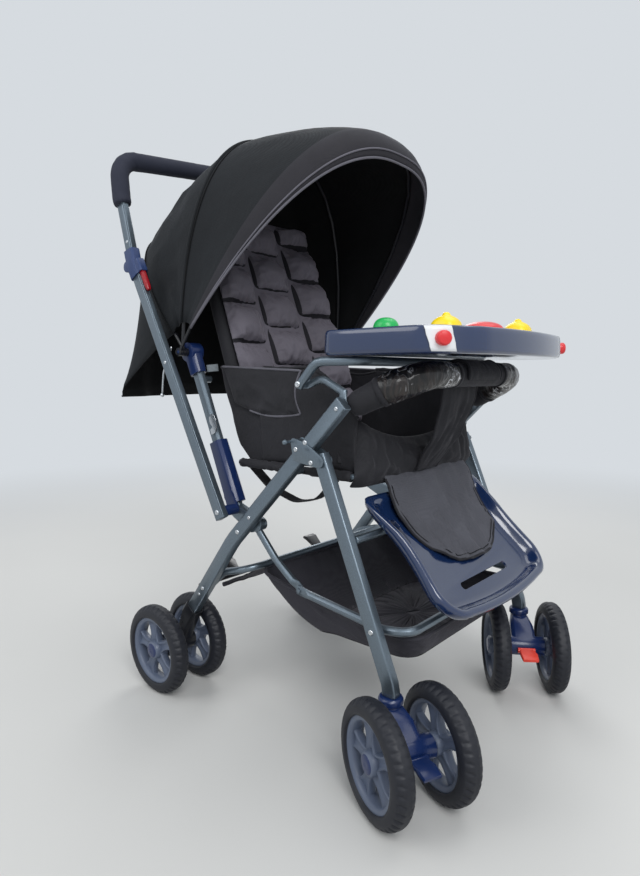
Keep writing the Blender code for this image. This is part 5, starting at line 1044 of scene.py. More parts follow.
def makeBackrestCover():
    # dark cloth pulled round the backrest tube and across behind it
    rows = []
    count = 40
    for i in range(count + 1):
        v = i / count
        distance = 0.020 + 0.470 * v
        half = backrestShape["half"] * backrestWidth(v) + 0.003
        drag = creases((v * 7, 0.3, 0), 1.0, 2.9)
        section = [(half - 0.012, 0.017), (half - 0.002, 0.016), (half + 0.004 + 0.002 * drag, 0.009),
                   (half + 0.0045, 0.001), (half + 0.001, -0.0065), (half - 0.008, -0.0085)]
        section += [(half * (1 - k / 5), -0.0085 + 0.0025 * creases((v * 5, k, 0), 1.0, 8.2)) for k in range(1, 5)]
        section += [(0.0, -0.008)]
        full = section + [(-x, depth) for x, depth in reversed(section[:-1])]
        rows.append([backrestPoint(distance, depth, x) for x, depth in full])
    cover = subdivided(thickened(clothGrid("backrestCover", rows, seatCloth), 0.0016))
    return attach(cover, "backrest")


makeBackrest()
makeBackrestCover()
print("backrest quilted")

# seat, its sides and its pocket

seatShape = {"half": 0.1663, "front": -0.1527, "rear": 0.049, "floor": 0.425, "sideTop": 0.578, "thickness": 0.006,
             "folds": 0.0035}


def seatSection(share):
    # one strip of the sling, from the left top edge, down across the floor and up to the right top edge
    shape = seatShape
    half = shape["half"]
    top = shape["sideTop"] - 0.075 * max(0.0, 1 - share * 2.2) ** 1.5
    base = shape["floor"] - 0.006 + 0.008 * math.sin(math.pi * share) - 0.006 * max(0.0, 1 - share * 5) ** 2
    points = []
    count = 22
    for index in range(count + 1):
        rise = index / count
        z = top + (base + 0.012 - top) * rise
        bulge = 0.004 * math.sin(math.pi * min(1.0, rise * 1.1))
        points.append((half - 0.003 + bulge, z))
    for index in range(1, 7):
        angle = math.pi / 2 * index / 6
        points.append((half - 0.003 - 0.018 * (1 - math.cos(angle)), base + 0.012 - 0.014 * math.sin(angle)))
    for index in range(1, 13):
        x = (half - 0.021) * (1 - index / 12)
        crown = 0.014 * (1 - (x / half) ** 2)
        points.append((x, base - 0.002 + crown))
    return points + [(-x, z) for x, z in reversed(points[:-1])]


def makeSeat():
    shape = seatShape
    count = 46
    rows = []
    for index in range(count + 1):
        share = index / count
        y = shape["front"] + (shape["rear"] - shape["front"]) * share
        row = []
        for x, z in seatSection(share):
            tall = max(0.0, (z - shape["floor"]) / (shape["sideTop"] - shape["floor"]))
            drag = creases((y * 16, z * 7, x), 1.0, 2.4) * 0.6 + creases((y * 30 + z * 12, z * 18, 0), 1.0, 9.1) * 0.4
            fold = shape["folds"] * drag * (0.35 + tall) * (1 if abs(x) > 0.1 else 0.35)
            if abs(x) > 0.14:
                row.append(at(x - math.copysign(abs(fold), x) * 0.9, y, z + 0.4 * fold))
            else:
                row.append(at(x, y, z + abs(fold) * 0.8))
        rows.append(row)
    seat = thickened(clothGrid("seatSling", rows, seatCloth), shape["thickness"], offset=0)
    subdivided(seat)
    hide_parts("seat_pad")
    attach(seat, "rear_frame")
    for side, sign in sides.items():
        edge = [rows[index][0 if sign > 0 else -1] for index in range(count + 1)]
        piping = tube(f"seatPiping_{side}", [point + Vector((0, 0, 0.002)) for point in edge], 0.0030, seatCloth, 10)
        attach(piping, "rear_frame")


def makeSeatCushion():
    # crowned pad on the sling, drawn in at its sides
    rows = []
    wide, deep = 30, 22
    low, pinned = 0.4300, {}
    half, front, rear = 0.135, -0.140, 0.036
    for i in range(deep + 1):
        v = i / deep
        row = []
        for j in range(wide + 1):
            u = 2 * j / wide - 1
            edge = min(1.0, (1 - abs(u)) * 6, v * 9, (1 - v) * 9)
            tuck = 1 - 0.05 * math.sin(math.pi * v)
            seam = max(0.0, 1 - min(abs(u - 0.36), abs(u + 0.36)) / 0.07, 1 - abs(v - 0.5) / 0.05)
            row.append(at(u * half * tuck, front + (rear - front) * v, low + 0.004 + 0.009 * edge * (1 - 0.6 * seam)
                          + 0.012 * (1 - u * u) * math.sin(math.pi * v)))
            if edge < 0.12 or seam > 0.6:
                pinned[i * (wide + 1) + j] = 1.0
        rows.append(row)
    pad = clothGrid("seatQuilt", rows, quiltCloth)
    inflated(pad, pinned, {"pressure": 3.0, "slack": 0.07, "frames": 16, "cap": 0.010})
    pad.data.materials.clear()
    pad.data.materials.append(quiltCloth)
    solid = thickened(pad, 0.006, offset=1.0 if pad.data.polygons[0].normal.z < 0 else -1.0)
    subdivided(solid)
    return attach(solid, "rear_frame")


def makeSidePockets():
    # a loose pocket on each outer side, bound along its top and its free edge
    for side, sign in sides.items():
        rows = []
        rise, run = 34, 52
        for i in range(rise + 1):
            v = i / rise
            row = []
            for j in range(run + 1):
                u = j / run
                y = 0.143 - 0.187 * u
                top = 0.5845 - 0.008 * u
                bottom = 0.508 - 0.012 * math.sin(math.pi * u) + 0.014 * (1 - u)
                z = top + (bottom - top) * v
                y += 0.012 * u ** 2 * math.sin(math.pi * v) - 0.030 * (1 - u) * v
                edge = min(1.0, 7 * u, 9 * (1 - u), 8 * (1 - v), 0.35 + 5 * v)
                swirl = creases((y * 13 + z * 11, z * 17 - y * 6, sign), 1.0, 5.5)
                small = creases((y * 30 - z * 16, z * 34, 0), 1.0, 1.9)
                out = 0.1676 + 0.0035 * edge + edge * (0.0030 * swirl + 0.0014 * small) * (0.5 + v)
                row.append(at(sign * min(0.1762, max(0.1672, out)), y, z))
            rows.append(row)
        pocket = subdivided(thickened(clothGrid(f"sidePocket_{side}", rows, seatCloth), 0.0018))
        bound = rows[0] + [row[-1] for row in rows[1:]] + rows[-1][::-1][1:40]
        lifted = [point + Vector((sign * 0.0010, 0, 0)) for point in bound]
        binding = tube(f"pocketBinding_{side}", evenPath(lifted, 0.004), 0.0019, pipingCloth, 8)
        piece = joined(f"sidePocket_{side}", [pocket, binding])
        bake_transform(piece)
        tab = [at(sign * 0.1655, 0.160, 0.583), at(sign * 0.1745, 0.166, 0.582), at(sign * 0.1818, 0.171, 0.581)]
        link = strap(f"sideTab_{side}", tab, 0.013, 0.0024, greyWebbing, (0, 0.35, 1))
        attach(link, "uprights")


def makeSeatWings():
    # the bag's sides behind the seat, whose rear edge runs along the backrest's lean
    for side, sign in sides.items():
        rows = []
        for i in range(27):
            v = i / 26
            row = []
            for j in range(19):
                u = j / 18
                front = 0.040
                z = 0.584 - 0.006 * (1 - u) - 0.168 * v
                z -= 0.010 * math.sin(math.pi * u) * (1 - v) ** 4
                slope = math.tan(math.radians(backrestShape["lean"]))
                rear = backrestShape["pivot"][0] + max(0.0, z - 0.420) * slope + 0.010
                rear -= 0.020 * max(0.0, v - 0.8) / 0.2
                y = front + (rear - front) * u
                drag = creases((y * 15, z * 9, sign), 1.0, 3.7) * 0.6 + creases((y * 34, z * 26, 0), 1.0, 6.6) * 0.4
                x = 0.1600 + 0.0030 * math.sin(math.pi * v) + 0.0028 * drag * math.sin(math.pi * min(1.0, 0.1 + v))
                row.append(at(sign * min(x, 0.1662), y, z))
            rows.append(row)
        wing = thickened(clothGrid(f"seatWing_{side}", rows, seatCloth), 0.002)
        edge = tube(f"wingEdge_{side}", rows[0], 0.0024, seatCloth, 8)
        piece = joined(f"seatWing_{side}", [wing, edge])
        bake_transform(piece)


def makeSeatFront():
    # a full roll along the seat's front, sagging between the side panels
    rows = []
    wide = 60
    for j in range(wide + 1):
        u = 2 * j / wide - 1
        turnBack = 0.018 * (max(0.0, abs(u) - 0.90) / 0.10) ** 1.6
        top = 0.462 + 0.040 * abs(u) ** 2.2
        gather = creases((u * 9, 0.7, 0), 1.0, 5.1)
        fine = creases((u * 21, 0.2, 0), 1.0, 7.3)
        ends = min(1.0, (1 - abs(u)) * 8)
        section = []
        for k in range(25):
            turn = k / 24
            if turn < 0.55:  # up the front
                part = turn / 0.55
                z = 0.402 + (top - 0.402) * part
                y = -0.1548 - 0.0105 * math.sin(math.pi * part) ** 0.8
                lean = creases((u * 4 + part * 2.2, part * 1.7, 1.0), 1.0, 9.2)
                fold = (0.0050 * gather + 0.0020 * fine + 0.0062 * lean) * math.sin(math.pi * part)
            elif turn < 0.75:  # over the top
                part = (turn - 0.55) / 0.20
                z = top + 0.006 * math.sin(math.pi * part)
                y = -0.1548 + 0.012 * part
                fold = 0.0015 * fine * math.sin(math.pi * part)
            else:  # down to the seat
                part = (turn - 0.75) / 0.25
                z = top + (0.436 - top) * part
                y = -0.1428 + 0.010 * part
                fold = 0.0015 * gather * math.sin(math.pi * part)
            railSwell = math.exp(-((z - 0.420) / 0.014) ** 2)
            x = u * (0.1668 + 0.0135 * railSwell)
            back = turnBack * (1 - 0.85 * railSwell) - 0.0015 * railSwell
            section.append(at(x, y + back - max(-0.001, fold) * ends, z + 0.3 * fold))
        rows.append(section)
    front = clothGrid("seatFront", rows, seatCloth)
    roll = subdivided(thickened(front, 0.0022))
    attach(roll, "rear_frame")
    for side, sign in sides.items():
        path = [at(sign * 0.1725, -0.150 + 0.24 * index / 40, 0.420) for index in range(41)]

        def sleeve(share, angle):
            swell = 0.0072 + 0.0012 * creases((share * 24, math.cos(angle), sign), 1.0, 2.2)
            if 0.34 < share < 0.46:
                swell = 0.0062
            return swell * math.cos(angle), swell * math.sin(angle)

        cover = tube(f"railSleeve_{side}", path, sleeve, seatCloth, 18)
        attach(cover, "rear_frame")


def makeUnderStraps():
    for side, sign in sides.items():
        low = [(0.150, 0.084, 0.409), (0.150, 0.040, 0.378), (0.150, -0.020, 0.362), (0.150, -0.066, 0.372),
               (0.150, -0.098, 0.404)]
        path = smoothPath([at(sign * x, y, z) for x, y, z in low], 0.05)
        belt = strap(f"underStrap_{side}", path, 0.022, 0.0024, strapWebbing, (1, 0, 0))
        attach(belt, "rear_frame")


makeSeat()
makeSeatCushion()
makeSeatWings()
makeSidePockets()
makeSeatFront()
print("seat made")

# bumper bar, wrapped foam and crotch strap

bumperShape = {"radius": 0.0190, "front": (-0.252, 0.570), "crinkle": 0.0013,
               "film": ((0.10, 0.36), (0.66, 0.92))}


def bumperPath():
    half = 0.204 - 0.0003 - 0.0025 - 0.0195 * 0.78
    frontY, frontZ = bumperShape["front"]
    right = [(-half, legTop[0] + 0.006, legTop[1] - 0.006),
             (-half + 0.017, (legTop[0] + frontY) / 2, (legTop[1] + frontZ) / 2), (-half + 0.050, frontY, frontZ)]
    left = [(-x, y, z) for x, y, z in reversed(right)]
    return evenPath(smoothPath([at(*point) for point in right + left], 0.05), 0.0035)


def makeBumper():
    path = bumperPath()
    film = bumperShape["film"]

    def wrapped(share, angle):
        inside = any(low < share < high for low, high in film)
        near = min(share, 1 - share)
        full = 1.0 + 0.20 * math.exp(-((near - 0.16) / 0.09) ** 2)
        radius = bumperShape["radius"] * (1 if inside else 0.97) * full
        seed = Vector((share * 60, math.cos(angle) * 1.6, math.sin(angle) * 1.6))
        ripple = 1 - 2 * abs(noise.noise(seed))
        radius += bumperShape["crinkle"] * (ripple - 0.6) * (1.0 if inside else 0.25)
        end = min(1.0, 0.82 + share * 8, 0.82 + (1 - share) * 8)
        return radius * end * math.cos(angle), radius * end * math.sin(angle)

    bumper = tube("bumperSleeve", path, wrapped, seatCloth, 30)
    bumper.data.materials.append(clearFilm)
    count = len(path) - 1
    for polygon in bumper.data.polygons:
        share = (polygon.index // 30) / count
        if polygon.index < count * 30 and any(low < share < high for low, high in film):
            polygon.material_index = 1
    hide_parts("bumper_bar")
    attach(bumper, "rear_frame")
    for index, share in enumerate((0.10, 0.36, 0.66, 0.92)):
        middle = round(share * count)
        ring = path[middle - 1:middle + 2]
        near = min(share, 1 - share)
        girth = bumperShape["radius"] * (1.0 + 0.20 * math.exp(-((near - 0.16) / 0.09) ** 2))
        cuff = tube(f"bumperCuff{index}", ring, girth + 0.0009, seatCloth, 30)
        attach(cuff, "rear_frame")


def makeCrotchPanel():
    rows = []
    frontY, frontZ = bumperShape["front"]
    around, fall = 14, 26
    lowY, lowZ = -0.1705, 0.416
    for index in range(around + 1):  # wraps over the bumper bar
        angle = math.radians(200 - 225 * index / around)
        half = 0.050 + 0.002 * math.sin(index)
        row = []
        for j in range(25):
            u = 2 * j / 24 - 1
            lift = 0.0007 * creases((u * 5, angle, 0), 1.0, 3.0)
            reach = bumperShape["radius"] + 0.0022 + lift
            row.append(at(u * half, frontY + reach * math.cos(angle), frontZ + reach * math.sin(angle)))
        rows.append(row)
    last = rows[-1]
    for index in range(1, fall + 1):
        share = index / fall
        half = 0.052 - 0.022 * share ** 1.6
        row = []
        for j in range(25):
            u = 2 * j / 24 - 1
            start = last[j]
            y = start.y + (lowY + shift.y - start.y) * share - 0.014 * math.sin(math.pi * share)
            z = start.z + (lowZ - start.z) * share
            pleat = 0.0055 * creases((u * 2.1 + share * 1.6, share * 2.4, 0.3), 1.0, 6.0) - 0.004 * abs(u) ** 3
            row.append(Vector((shift.x + u * half, y - pleat * math.sin(math.pi * share), z)))
        rows.append(row)
    panel = thickened(clothGrid("crotchPanel", rows, seatCloth), 0.003)
    edges = []
    for j in (0, 24):
        edges.append(tube(f"crotchEdge{j}", [row[j] for row in rows], 0.0026, seatCloth, 8))
    piece = joined("crotchPanel", [panel, *edges])
    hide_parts("crotch_panel")
    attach(piece, "rear_frame")


makeBumper()
makeCrotchPanel()
print("bumper bar made")

# footrest

footrestShape = {"top": (-0.158, 0.384), "bottom": (-0.312, 0.226), "half": 0.168, "rim": 0.020, "wall": 0.004}
footTop, footBottom = Vector(footrestShape["top"]), Vector(footrestShape["bottom"])
footDown = (footBottom - footTop).normalized()
footFace = Vector((footDown.y, -footDown.x))
if footFace.y < 0:
    footFace = -footFace
footLength = (footBottom - footTop).length


def footrestPoint(x, down, lift):
    place = footTop + footDown * down + footFace * lift
    return at(x, place.x, place.y)


def footrestOutline(shrink):
    half, top, low = footrestShape["half"] - shrink, shrink, footLength - shrink
    corner = max(0.050 - shrink, 0.01)
    run = [(half - 0.016, top), (half - 0.007, top + 0.002), (half - 0.001, top + 0.009), (half, top + 0.018)]
    for step in range(1, 9):
        share = step / 9
        run.append((half - 0.010 * math.sin(math.pi * share) ** 1.2,
                    top + 0.018 + (low - corner - top - 0.018) * share))
    for step in range(13):
        angle = math.radians(90 * step / 12)
        run.append((half - corner + corner * math.cos(angle), low - corner + corner * math.sin(angle)))
    for step in range(1, 7):
        x = (half - corner) * (1 - step / 7)
        run.append((x, low + 0.008 * (1 - (x / (half - corner)) ** 2)))
    mirrored = [(-x, down) for x, down in reversed(run)]
    return run + [(0, low + 0.008)] + mirrored


def makeFootrest():
    wall, rim = footrestShape["wall"], footrestShape["rim"]
    levels = [(0.022, -wall), (0.010, -wall + 0.001), (0.004, 0.002), (0.001, 0.008), (0.0, rim - 0.005),
              (0.0012, rim - 0.0015), (0.004, rim), (0.008, rim), (0.0115, rim - 0.0018), (0.0145, rim - 0.006),
              (0.018, 0.0065), (0.024, 0.0015), (0.032, 0.0)]
    vertices = []
    for shrink, lift in levels:
        for x, down in footrestOutline(shrink):
            fade = min(1.0, max(0.0, down / (footLength * 0.35)))
            height = lift if lift <= 0.004 else 0.004 + (lift - 0.004) * (0.35 + 0.65 * fade)
            vertices.append(footrestPoint(x, down, height))
    count = len(footrestOutline(0))
    faces = gridFaces(len(levels), count, True)
    faces.append(range(count))
    faces.append(range(count * (len(levels) - 1), count * len(levels)))
    tray = makePiece("footrestTray", vertices, faces, glossNavy)
    slots = []
    for x, down, wide, tall in ((0, footLength * 0.80, 0.15, 0.012), (-0.125, footLength * 0.30, 0.016, 0.045),
                                (0.125, footLength * 0.30, 0.016, 0.045)):
        outline = []
        radius = 0.006
        for quarter, (cx, cd) in enumerate(((1, 1), (-1, 1), (-1, -1), (1, -1))):
            for step in range(5):
                angle = math.radians(90 * quarter + 22.5 * step)
                outline.append((x + cx * (wide / 2 - radius) + radius * math.cos(angle),
                                down + cd * (tall / 2 - radius) + radius * math.sin(angle)))
        corners = [footrestPoint(a, b, lift) for lift in (-0.02, 0.02) for a, b in outline]
        size = len(outline)
        slots.append(makePiece("slotCutter", corners, gridFaces(2, size, True) + [range(size), range(size, 2 * size)],
                               navyPlastic))
    for cutter in slots:
        cutting = tray.modifiers.new("slot", "BOOLEAN")
        cutting.operation = "DIFFERENCE"
        cutting.solver = "EXACT"
        cutting.object = cutter
        settled(tray)
        bpy.data.objects.remove(cutter)
    ears = []
    for sign in sides.values():
        centre = at(sign * 0.100, -0.180, 0.336)
        barrel = [(-0.012, 0.0071), (-0.012, 0.0112), (0.012, 0.0112), (0.012, 0.0071)]
        ears.append(turned(f"ear{sign}", barrel, centre, (1, 0, 0), navyPlastic, 28))
        near = footrestPoint(sign * 0.100, (Vector((-0.180, 0.336)) - footTop).dot(footDown), 0)
        ears.append(tube(f"earWeb{sign}", [centre + (near - centre) * 0.45, near],
                         lambda share, angle: (0.012 * math.cos(angle), 0.008 * math.sin(angle)), navyPlastic, 16,
                         sideAxis=(1, 0, 0)))
    piece = joined("footrestTray", [tray, *ears])
    bevelled(piece, 0.0008, 2, 50)
    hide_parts("footrest")
    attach(piece, "footrest")


def makeLegFlap():
    fall = ((-0.0204, 0.0236), (-0.008, 0.0232), (0.006, 0.0190), (0.024, 0.0120), (0.045, 0.0060),
            (0.068, 0.0030), (0.094, 0.0030), (0.120, 0.0024), (0.147, 0.0024))
    rows = []
    count, wide = 44, 40
    for i in range(count + 1):
        share = i / count
        spot = share * (len(fall) - 1)
        k = min(int(spot), len(fall) - 2)
        down = fall[k][0] + (fall[k + 1][0] - fall[k][0]) * (spot - k)
        lift = fall[k][1] + (fall[k + 1][1] - fall[k][1]) * (spot - k)
        half = 0.125 + 0.005 * math.sin(math.pi * share) - 0.050 * share ** 5
        row = []
        for j in range(wide + 1):
            u = 2 * j / wide - 1
            x = u * half + 0.016
            bow = -0.016 * share * abs(u) ** 2.5
            drape = (0.0040 * creases((x * 26, share * 1.8, 0), 1.0, 4.4)
                     + 0.0026 * creases((x * 52, share * 4, 0), 1.0, 8.8))
            row.append(footrestPoint(x, down + bow, lift + (0.4 + share) * max(-0.0006, drape)))
        rows.append(row)
    sheet = thickened(clothGrid("legFlap", rows, flapCloth), 0.0022)
    border = [row[0] for row in rows[4:]] + rows[-1][1:-1] + [row[-1] for row in reversed(rows[4:])]
    edging = tube("flapEdge", evenPath(smoothPath(evenPath(border, 0.012), 0.02), 0.004), 0.0022, seatCloth, 8)
    stitch = [point for point in evenPath(border, 0.006)]
    middle = footrestPoint(0, 0.05, 0.006)
    inner = [point + (middle - point).normalized() * 0.007 + Vector((0, -0.0010, 0.0012)) for point in stitch]
    seam = tube("flapSeam", inner, 0.0006, liningCloth, 6)
    piece = joined("legFlap", [sheet, edging, seam])
    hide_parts("leg_flap")
    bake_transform(piece)


makeFootrest()
makeLegFlap()
print("footrest made")

# basket

basketShape = {"rearY": 0.050, "frontY": -0.265, "rearZ": 0.2370, "frontZ": 0.2005, "half": 0.176, "floor": 0.1625,
               "sag": 0.014, "wrinkle": 0.0022, "thickness": 0.0022, "cornerSteps": 10}


def basketRing(share, inset):
    shape = basketShape
    steps = shape["cornerSteps"]
    half = shape["half"] - 0.019 * share - inset
    rear, front = shape["rearY"] - 0.105 * share - inset, shape["frontY"] + 0.018 * share + inset
    corner = 0.030
    corners = []
    for signX, spotY, signY in ((1, front, -1), (1, rear, 1), (-1, rear, 1), (-1, front, -1)):
        for step in range(steps):
            angle = math.radians(90 * step / (steps - 1))
            if signX * signY > 0:
                angle = math.pi / 2 - angle
            corners.append((signX * (half - corner + corner * math.sin(angle)),
                            spotY - signY * (corner - corner * math.cos(angle))))
    line = evenPath([Vector((x, y, 0)) for x, y in corners + corners[:1]], 0.008)[:-1]
    return line


def basketPoint(x, y, share, wrinkle):
    shape = basketShape
    lean = (y - shape["frontY"]) / (shape["rearY"] - shape["frontY"])
    rim = shape["frontZ"] + (shape["rearZ"] - shape["frontZ"]) * max(0.0, lean - 0.28) / 0.72
    floor = shape["floor"] - shape["sag"] * max(0.0, min(1.0, 3 * lean - 1.5))
    return at(x, y, rim + (floor - rim) * share + wrinkle)


def makeBasket():
    shape = basketShape
    levels = 14
    base = basketRing(0.0, 0.0)
    count = len(base)
    rings = []
    for level in range(levels + 1):
        share = level / levels
        line = basketRing(share, -0.003 * math.sin(math.pi * share))
        total = len(line)
        ring = []
        for k in range(count):
            spot = line[round(k * total / count) % total]
            turn = math.tau * k / count
            fold = creases((math.cos(turn) * 3.2, math.sin(turn) * 3.2, share * 1.1), 1.0, 2.2)
            drag = creases((math.cos(turn) * 7, math.sin(turn) * 7, share * 2), 1.0, 6.1)
            swell = shape["wrinkle"] * (fold * 0.7 + drag * 0.5) * math.sin(math.pi * min(1, share + 0.12))
            outwards = Vector((spot.x, spot.y + 0.11, 0)).normalized()
            ring.append(basketPoint(spot.x - outwards.x * abs(swell), spot.y - outwards.y * abs(swell), share, 0))
        rings.append(ring)
    vertices = [point for ring in rings for point in ring]
    faces = gridFaces(levels + 1, count, True)
    last = levels * count
    middle = sum((vertices[last + k] for k in range(count)), Vector()) / count
    inner = []
    for hop in range(1, 12):
        ring = []
        for k in range(count):
            edge = vertices[last + k]
            point = edge.lerp(middle, hop / 12)
            point.z += (middle.z - point.z) * min(1.0, hop / 4)
            ring.append(point + Vector((0, 0, 0.001 + 0.004 * math.sin(math.pi * hop / 12))))
        inner.append(ring)
    start = len(vertices)
    vertices += [point for ring in inner for point in ring]
    faces += [(last + k, last + (k + 1) % count, start + (k + 1) % count, start + k) for k in range(count)]
    faces += gridFaces(11, count, True, start)
    faces.append(range(start + 10 * count, start + 11 * count))
    tub = thickened(makePiece("basketTub", vertices, faces, basketCloth), shape["thickness"])
    hem = tube("basketHem", rings[0] + rings[0][:1], 0.0030, basketCloth, 8)
    low = tube("basketLowSeam", rings[-1] + rings[-1][:1], 0.0014, liningCloth, 8)
    panelRows = []
    for i in range(17):
        v = i / 16
        row = []
        for j in range(31):
            u = 2 * j / 30 - 1
            sag = 0.010 * (1 - u * u) * math.sin(math.pi * v) + 0.0016 * creases((u * 5, v * 4, 0), 1.0, 3.9)
            row.append(at(u * (0.1745 + 0.005 * v), shape["rearY"] + 0.004 + 0.084 * v,
                          0.2375 - 0.044 * v - max(0.0, sag)))
        panelRows.append(row)
    rearPanel = thickened(clothGrid("basketRear", panelRows, basketCloth), 0.0016)
    rearHem = tube("basketRearHem", panelRows[-1], 0.0042, basketCloth, 10)
    piece = joined("basketTub", [tub, hem, low, rearPanel, rearHem])
    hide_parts("basket")
    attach(piece, "rear_frame")


makeBasket()
print("basket made")

# play tray

trayShape = {"half": 0.213, "rear": -0.118, "front": -0.318, "bulge": 0.030, "low": 0.5965, "height": 0.036}
trayTopZ = trayShape["low"] + trayShape["height"] - 0.004
greenSpot, redSpot = (-0.150, -0.192), (0.020, -0.256)


def trayOutline(shrink):
    half = trayShape["half"] - shrink
    rear, front = trayShape["rear"] - shrink, trayShape["front"] + shrink
    rearCorner, frontCorner = max(0.024 - shrink, 0.004), max(0.046 - shrink, 0.004)
    run = []
    for step in range(9):
        angle = math.radians(90 * step / 8)
        run.append((half - rearCorner + rearCorner * math.sin(angle),
                    rear - rearCorner + rearCorner * math.cos(angle)))
    for step in range(1, 5):
        run.append((half, rear - rearCorner + (front + frontCorner - rear + rearCorner) * step / 5))
    for step in range(13):
        angle = math.radians(80 * step / 12)
        run.append((half - frontCorner + frontCorner * math.cos(angle),
                    front + frontCorner - frontCorner * math.sin(angle)))
    startX, startY = run[-1]
    for step in range(1, 9):
        share = step / 9
        x = startX * (1 - share)
        y = front - trayShape["bulge"] * (1 - (x / half) ** 2)
        run.append((x, y if step > 1 else (y + startY) / 2))
    nose = [(0.0, front - trayShape["bulge"])]
    back = []
    for step in range(1, 12):
        x = -(half - rearCorner) + 2 * (half - rearCorner) * step / 12
        back.append((x, rear - 0.030 * math.cos(math.pi * x / (2 * (half - rearCorner))) ** 2))
    return run + nose + [(-x, y) for x, y in reversed(run)] + back


def trayLoft(name, levels, material):
    vertices = [at(x, y, z) for shrink, z in levels for x, y in trayOutline(shrink)]
    count = len(trayOutline(0))
    last = count * (len(levels) - 1)
    faces = gridFaces(len(levels), count, True) + [range(count), range(last, last + count)]
    return makePiece(name, vertices, faces, material)


def cutWith(piece, cutters):
    for cutter in cutters:
        cutting = piece.modifiers.new("cut", "BOOLEAN")
        cutting.operation = "DIFFERENCE"
        cutting.solver = "EXACT"
        cutting.object = cutter
        settled(piece)
        bpy.data.objects.remove(cutter)
    return piece


def makeTray():
    low, top = trayShape["low"], trayShape["low"] + trayShape["height"]
    levels = [(0.012, low), (0.005, low + 0.0004), (0.0015, low + 0.002), (0.0, low + 0.007), (0.0006, top - 0.008),
              (0.0014, top - 0.003), (0.0030, top - 0.0006), (0.0048, top), (0.0072, top - 0.0006),
              (0.0086, top - 0.003), (0.0100, top - 0.010), (0.0105, low + 0.004)]
    shell = trayLoft("trayShell", levels, glossNavy)
    bevelled(shell, 0.0004, 1, 60)
    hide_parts("tray_shell")
    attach(shell, "tray")
    base = low + 0.0045
    lip = [(0.0117, -0.004), (0.0122, 0), (0.0145, 0.0026), (0.0190, 0.0030), (0.0225, 0.0016), (0.0265, 0)]
    board = trayLoft("trayTop", [(0.0117, base)] + [(shrink, trayTopZ + rise) for shrink, rise in lip], whitePlastic)
    wells = []
    for x, y, radius, deep in ((0.150, -0.205, 0.032, 0.016), (*greenSpot, 0.0190, 0.012), (*redSpot, 0.0250, 0.012)):
        wells.append(turned("well", [(-deep, 0), (-deep, radius * 0.97), (0.02, radius), (0.02, 0)],
                            at(x, y, trayTopZ), (0, 0, 1), whitePlastic, 48))
    cutWith(board, wells)
    bevelled(board, 0.0012, 3, 40)
    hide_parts("tray_top")
    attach(board, "tray")
    ring = turned("toyRing", [(0.0, 0.0255), (0.0008, 0.0256), (0.0016, 0.0280), (0.0016, 0.0340), (0.0012, 0.0362),
                              (0.0, 0.0368), (0.0, 0.0255)], at(*redSpot, trayTopZ), (0, 0, 1),
                  orangePlastic, 48)
    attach(ring, "tray")


def makeToys():
    for name, x, y, radius, height, cap, material in (
            ("green_button", *greenSpot, 0.0178, 0.0222, 1.04, greenPlastic),
            ("red_button", *redSpot, 0.0236, 0.0235, 1.42, redPlastic)):
        dome = [(-0.0085, 0), (-0.0085, radius), (0.0045, radius), (0.0050, radius * cap - 0.001),
                (0.0062, radius * cap)]
        for step in range(1, 13):
            angle = math.radians(90 * step / 12)
            dome.append((0.0062 + (height - 0.0062) * math.sin(angle) ** 0.9, radius * cap * math.cos(angle) ** 0.8))
        dome[-1] = (height, 0)
        toy = turned(name + "Dome", dome, at(x, y, trayTopZ), (0, 0, 1), material, 40)
        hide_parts(name)
        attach(toy, name)
    for index, (x, y) in enumerate(((-0.070, -0.243), (0.105, -0.276))):
        # a rounded spinning bell on a short stem, with four lobes
        profile = [(-0.001, 0.0225), (0.0040, 0.0236), (0.0110, 0.0236), (0.0170, 0.0218), (0.0215, 0.0180),
                   (0.0248, 0.0130), (0.0268, 0.0086), (0.0284, 0.0060), (0.0304, 0.0052), (0.0320, 0.0034),
                   (0.0328, 0)]
        bell = turned(f"yellowBell{index}", profile, at(x, y, trayTopZ), (0, 0, 1), yellowPlastic, 48)
        centre = at(x, y, 0)
        for vertex in bell.data.vertices:
            turn = math.atan2(vertex.co.y - centre.y, vertex.co.x - centre.x)
            level = (vertex.co.z - trayTopZ) / 0.036
            pull = 1 - 0.07 * (1 + math.cos(4 * turn)) * max(0.0, 1 - abs(level - 0.3) * 2.4)
            vertex.co.x = centre.x + (vertex.co.x - centre.x) * pull
            vertex.co.y = centre.y + (vertex.co.y - centre.y) * pull
        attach(bell, "tray")
    for side, sign in sides.items():
        place = at(sign * 0.1955, -0.3085, 0.6152)
        outline = trayOutline(-0.0009)
        rim = sorted((spot for spot in outline if spot[0] * sign > 0.140 and spot[1] < -0.250),
                     key=lambda spot: math.atan2(spot[1] + 0.19, spot[0]))
        rim = evenPath([Vector((x, y, 0)) for x, y in rim], 0.001)
        middle = min(range(len(rim)), key=lambda index: (at(rim[index].x, rim[index].y, place.z) - place).length)
        low, high = trayShape["low"] + 0.0025, trayShape["low"] + trayShape["height"] - 0.0015
        plateRows = []
        for k in range(7):
            share = k / 6
            slide = round(sign * 5 * (2 * share - 1))
            bulge = 0.0004 * math.sin(math.pi * share)
            plateRows.append([at(spot.x + sign * bulge, spot.y - bulge, low + (high - low) * share)
                              for spot in rim[middle + slide - 18:middle + slide + 19]])
        plate = thickened(clothGrid(f"cornerPlate_{side}", plateRows, whitePlastic), 0.0016)
        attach(plate, "tray")


makeTray()
makeToys()
print("play tray made")

# push handle foam

gripShape = {"radius": 0.0163, "start": 0.882, "corner": 0.055, "puckers": 0.0005}


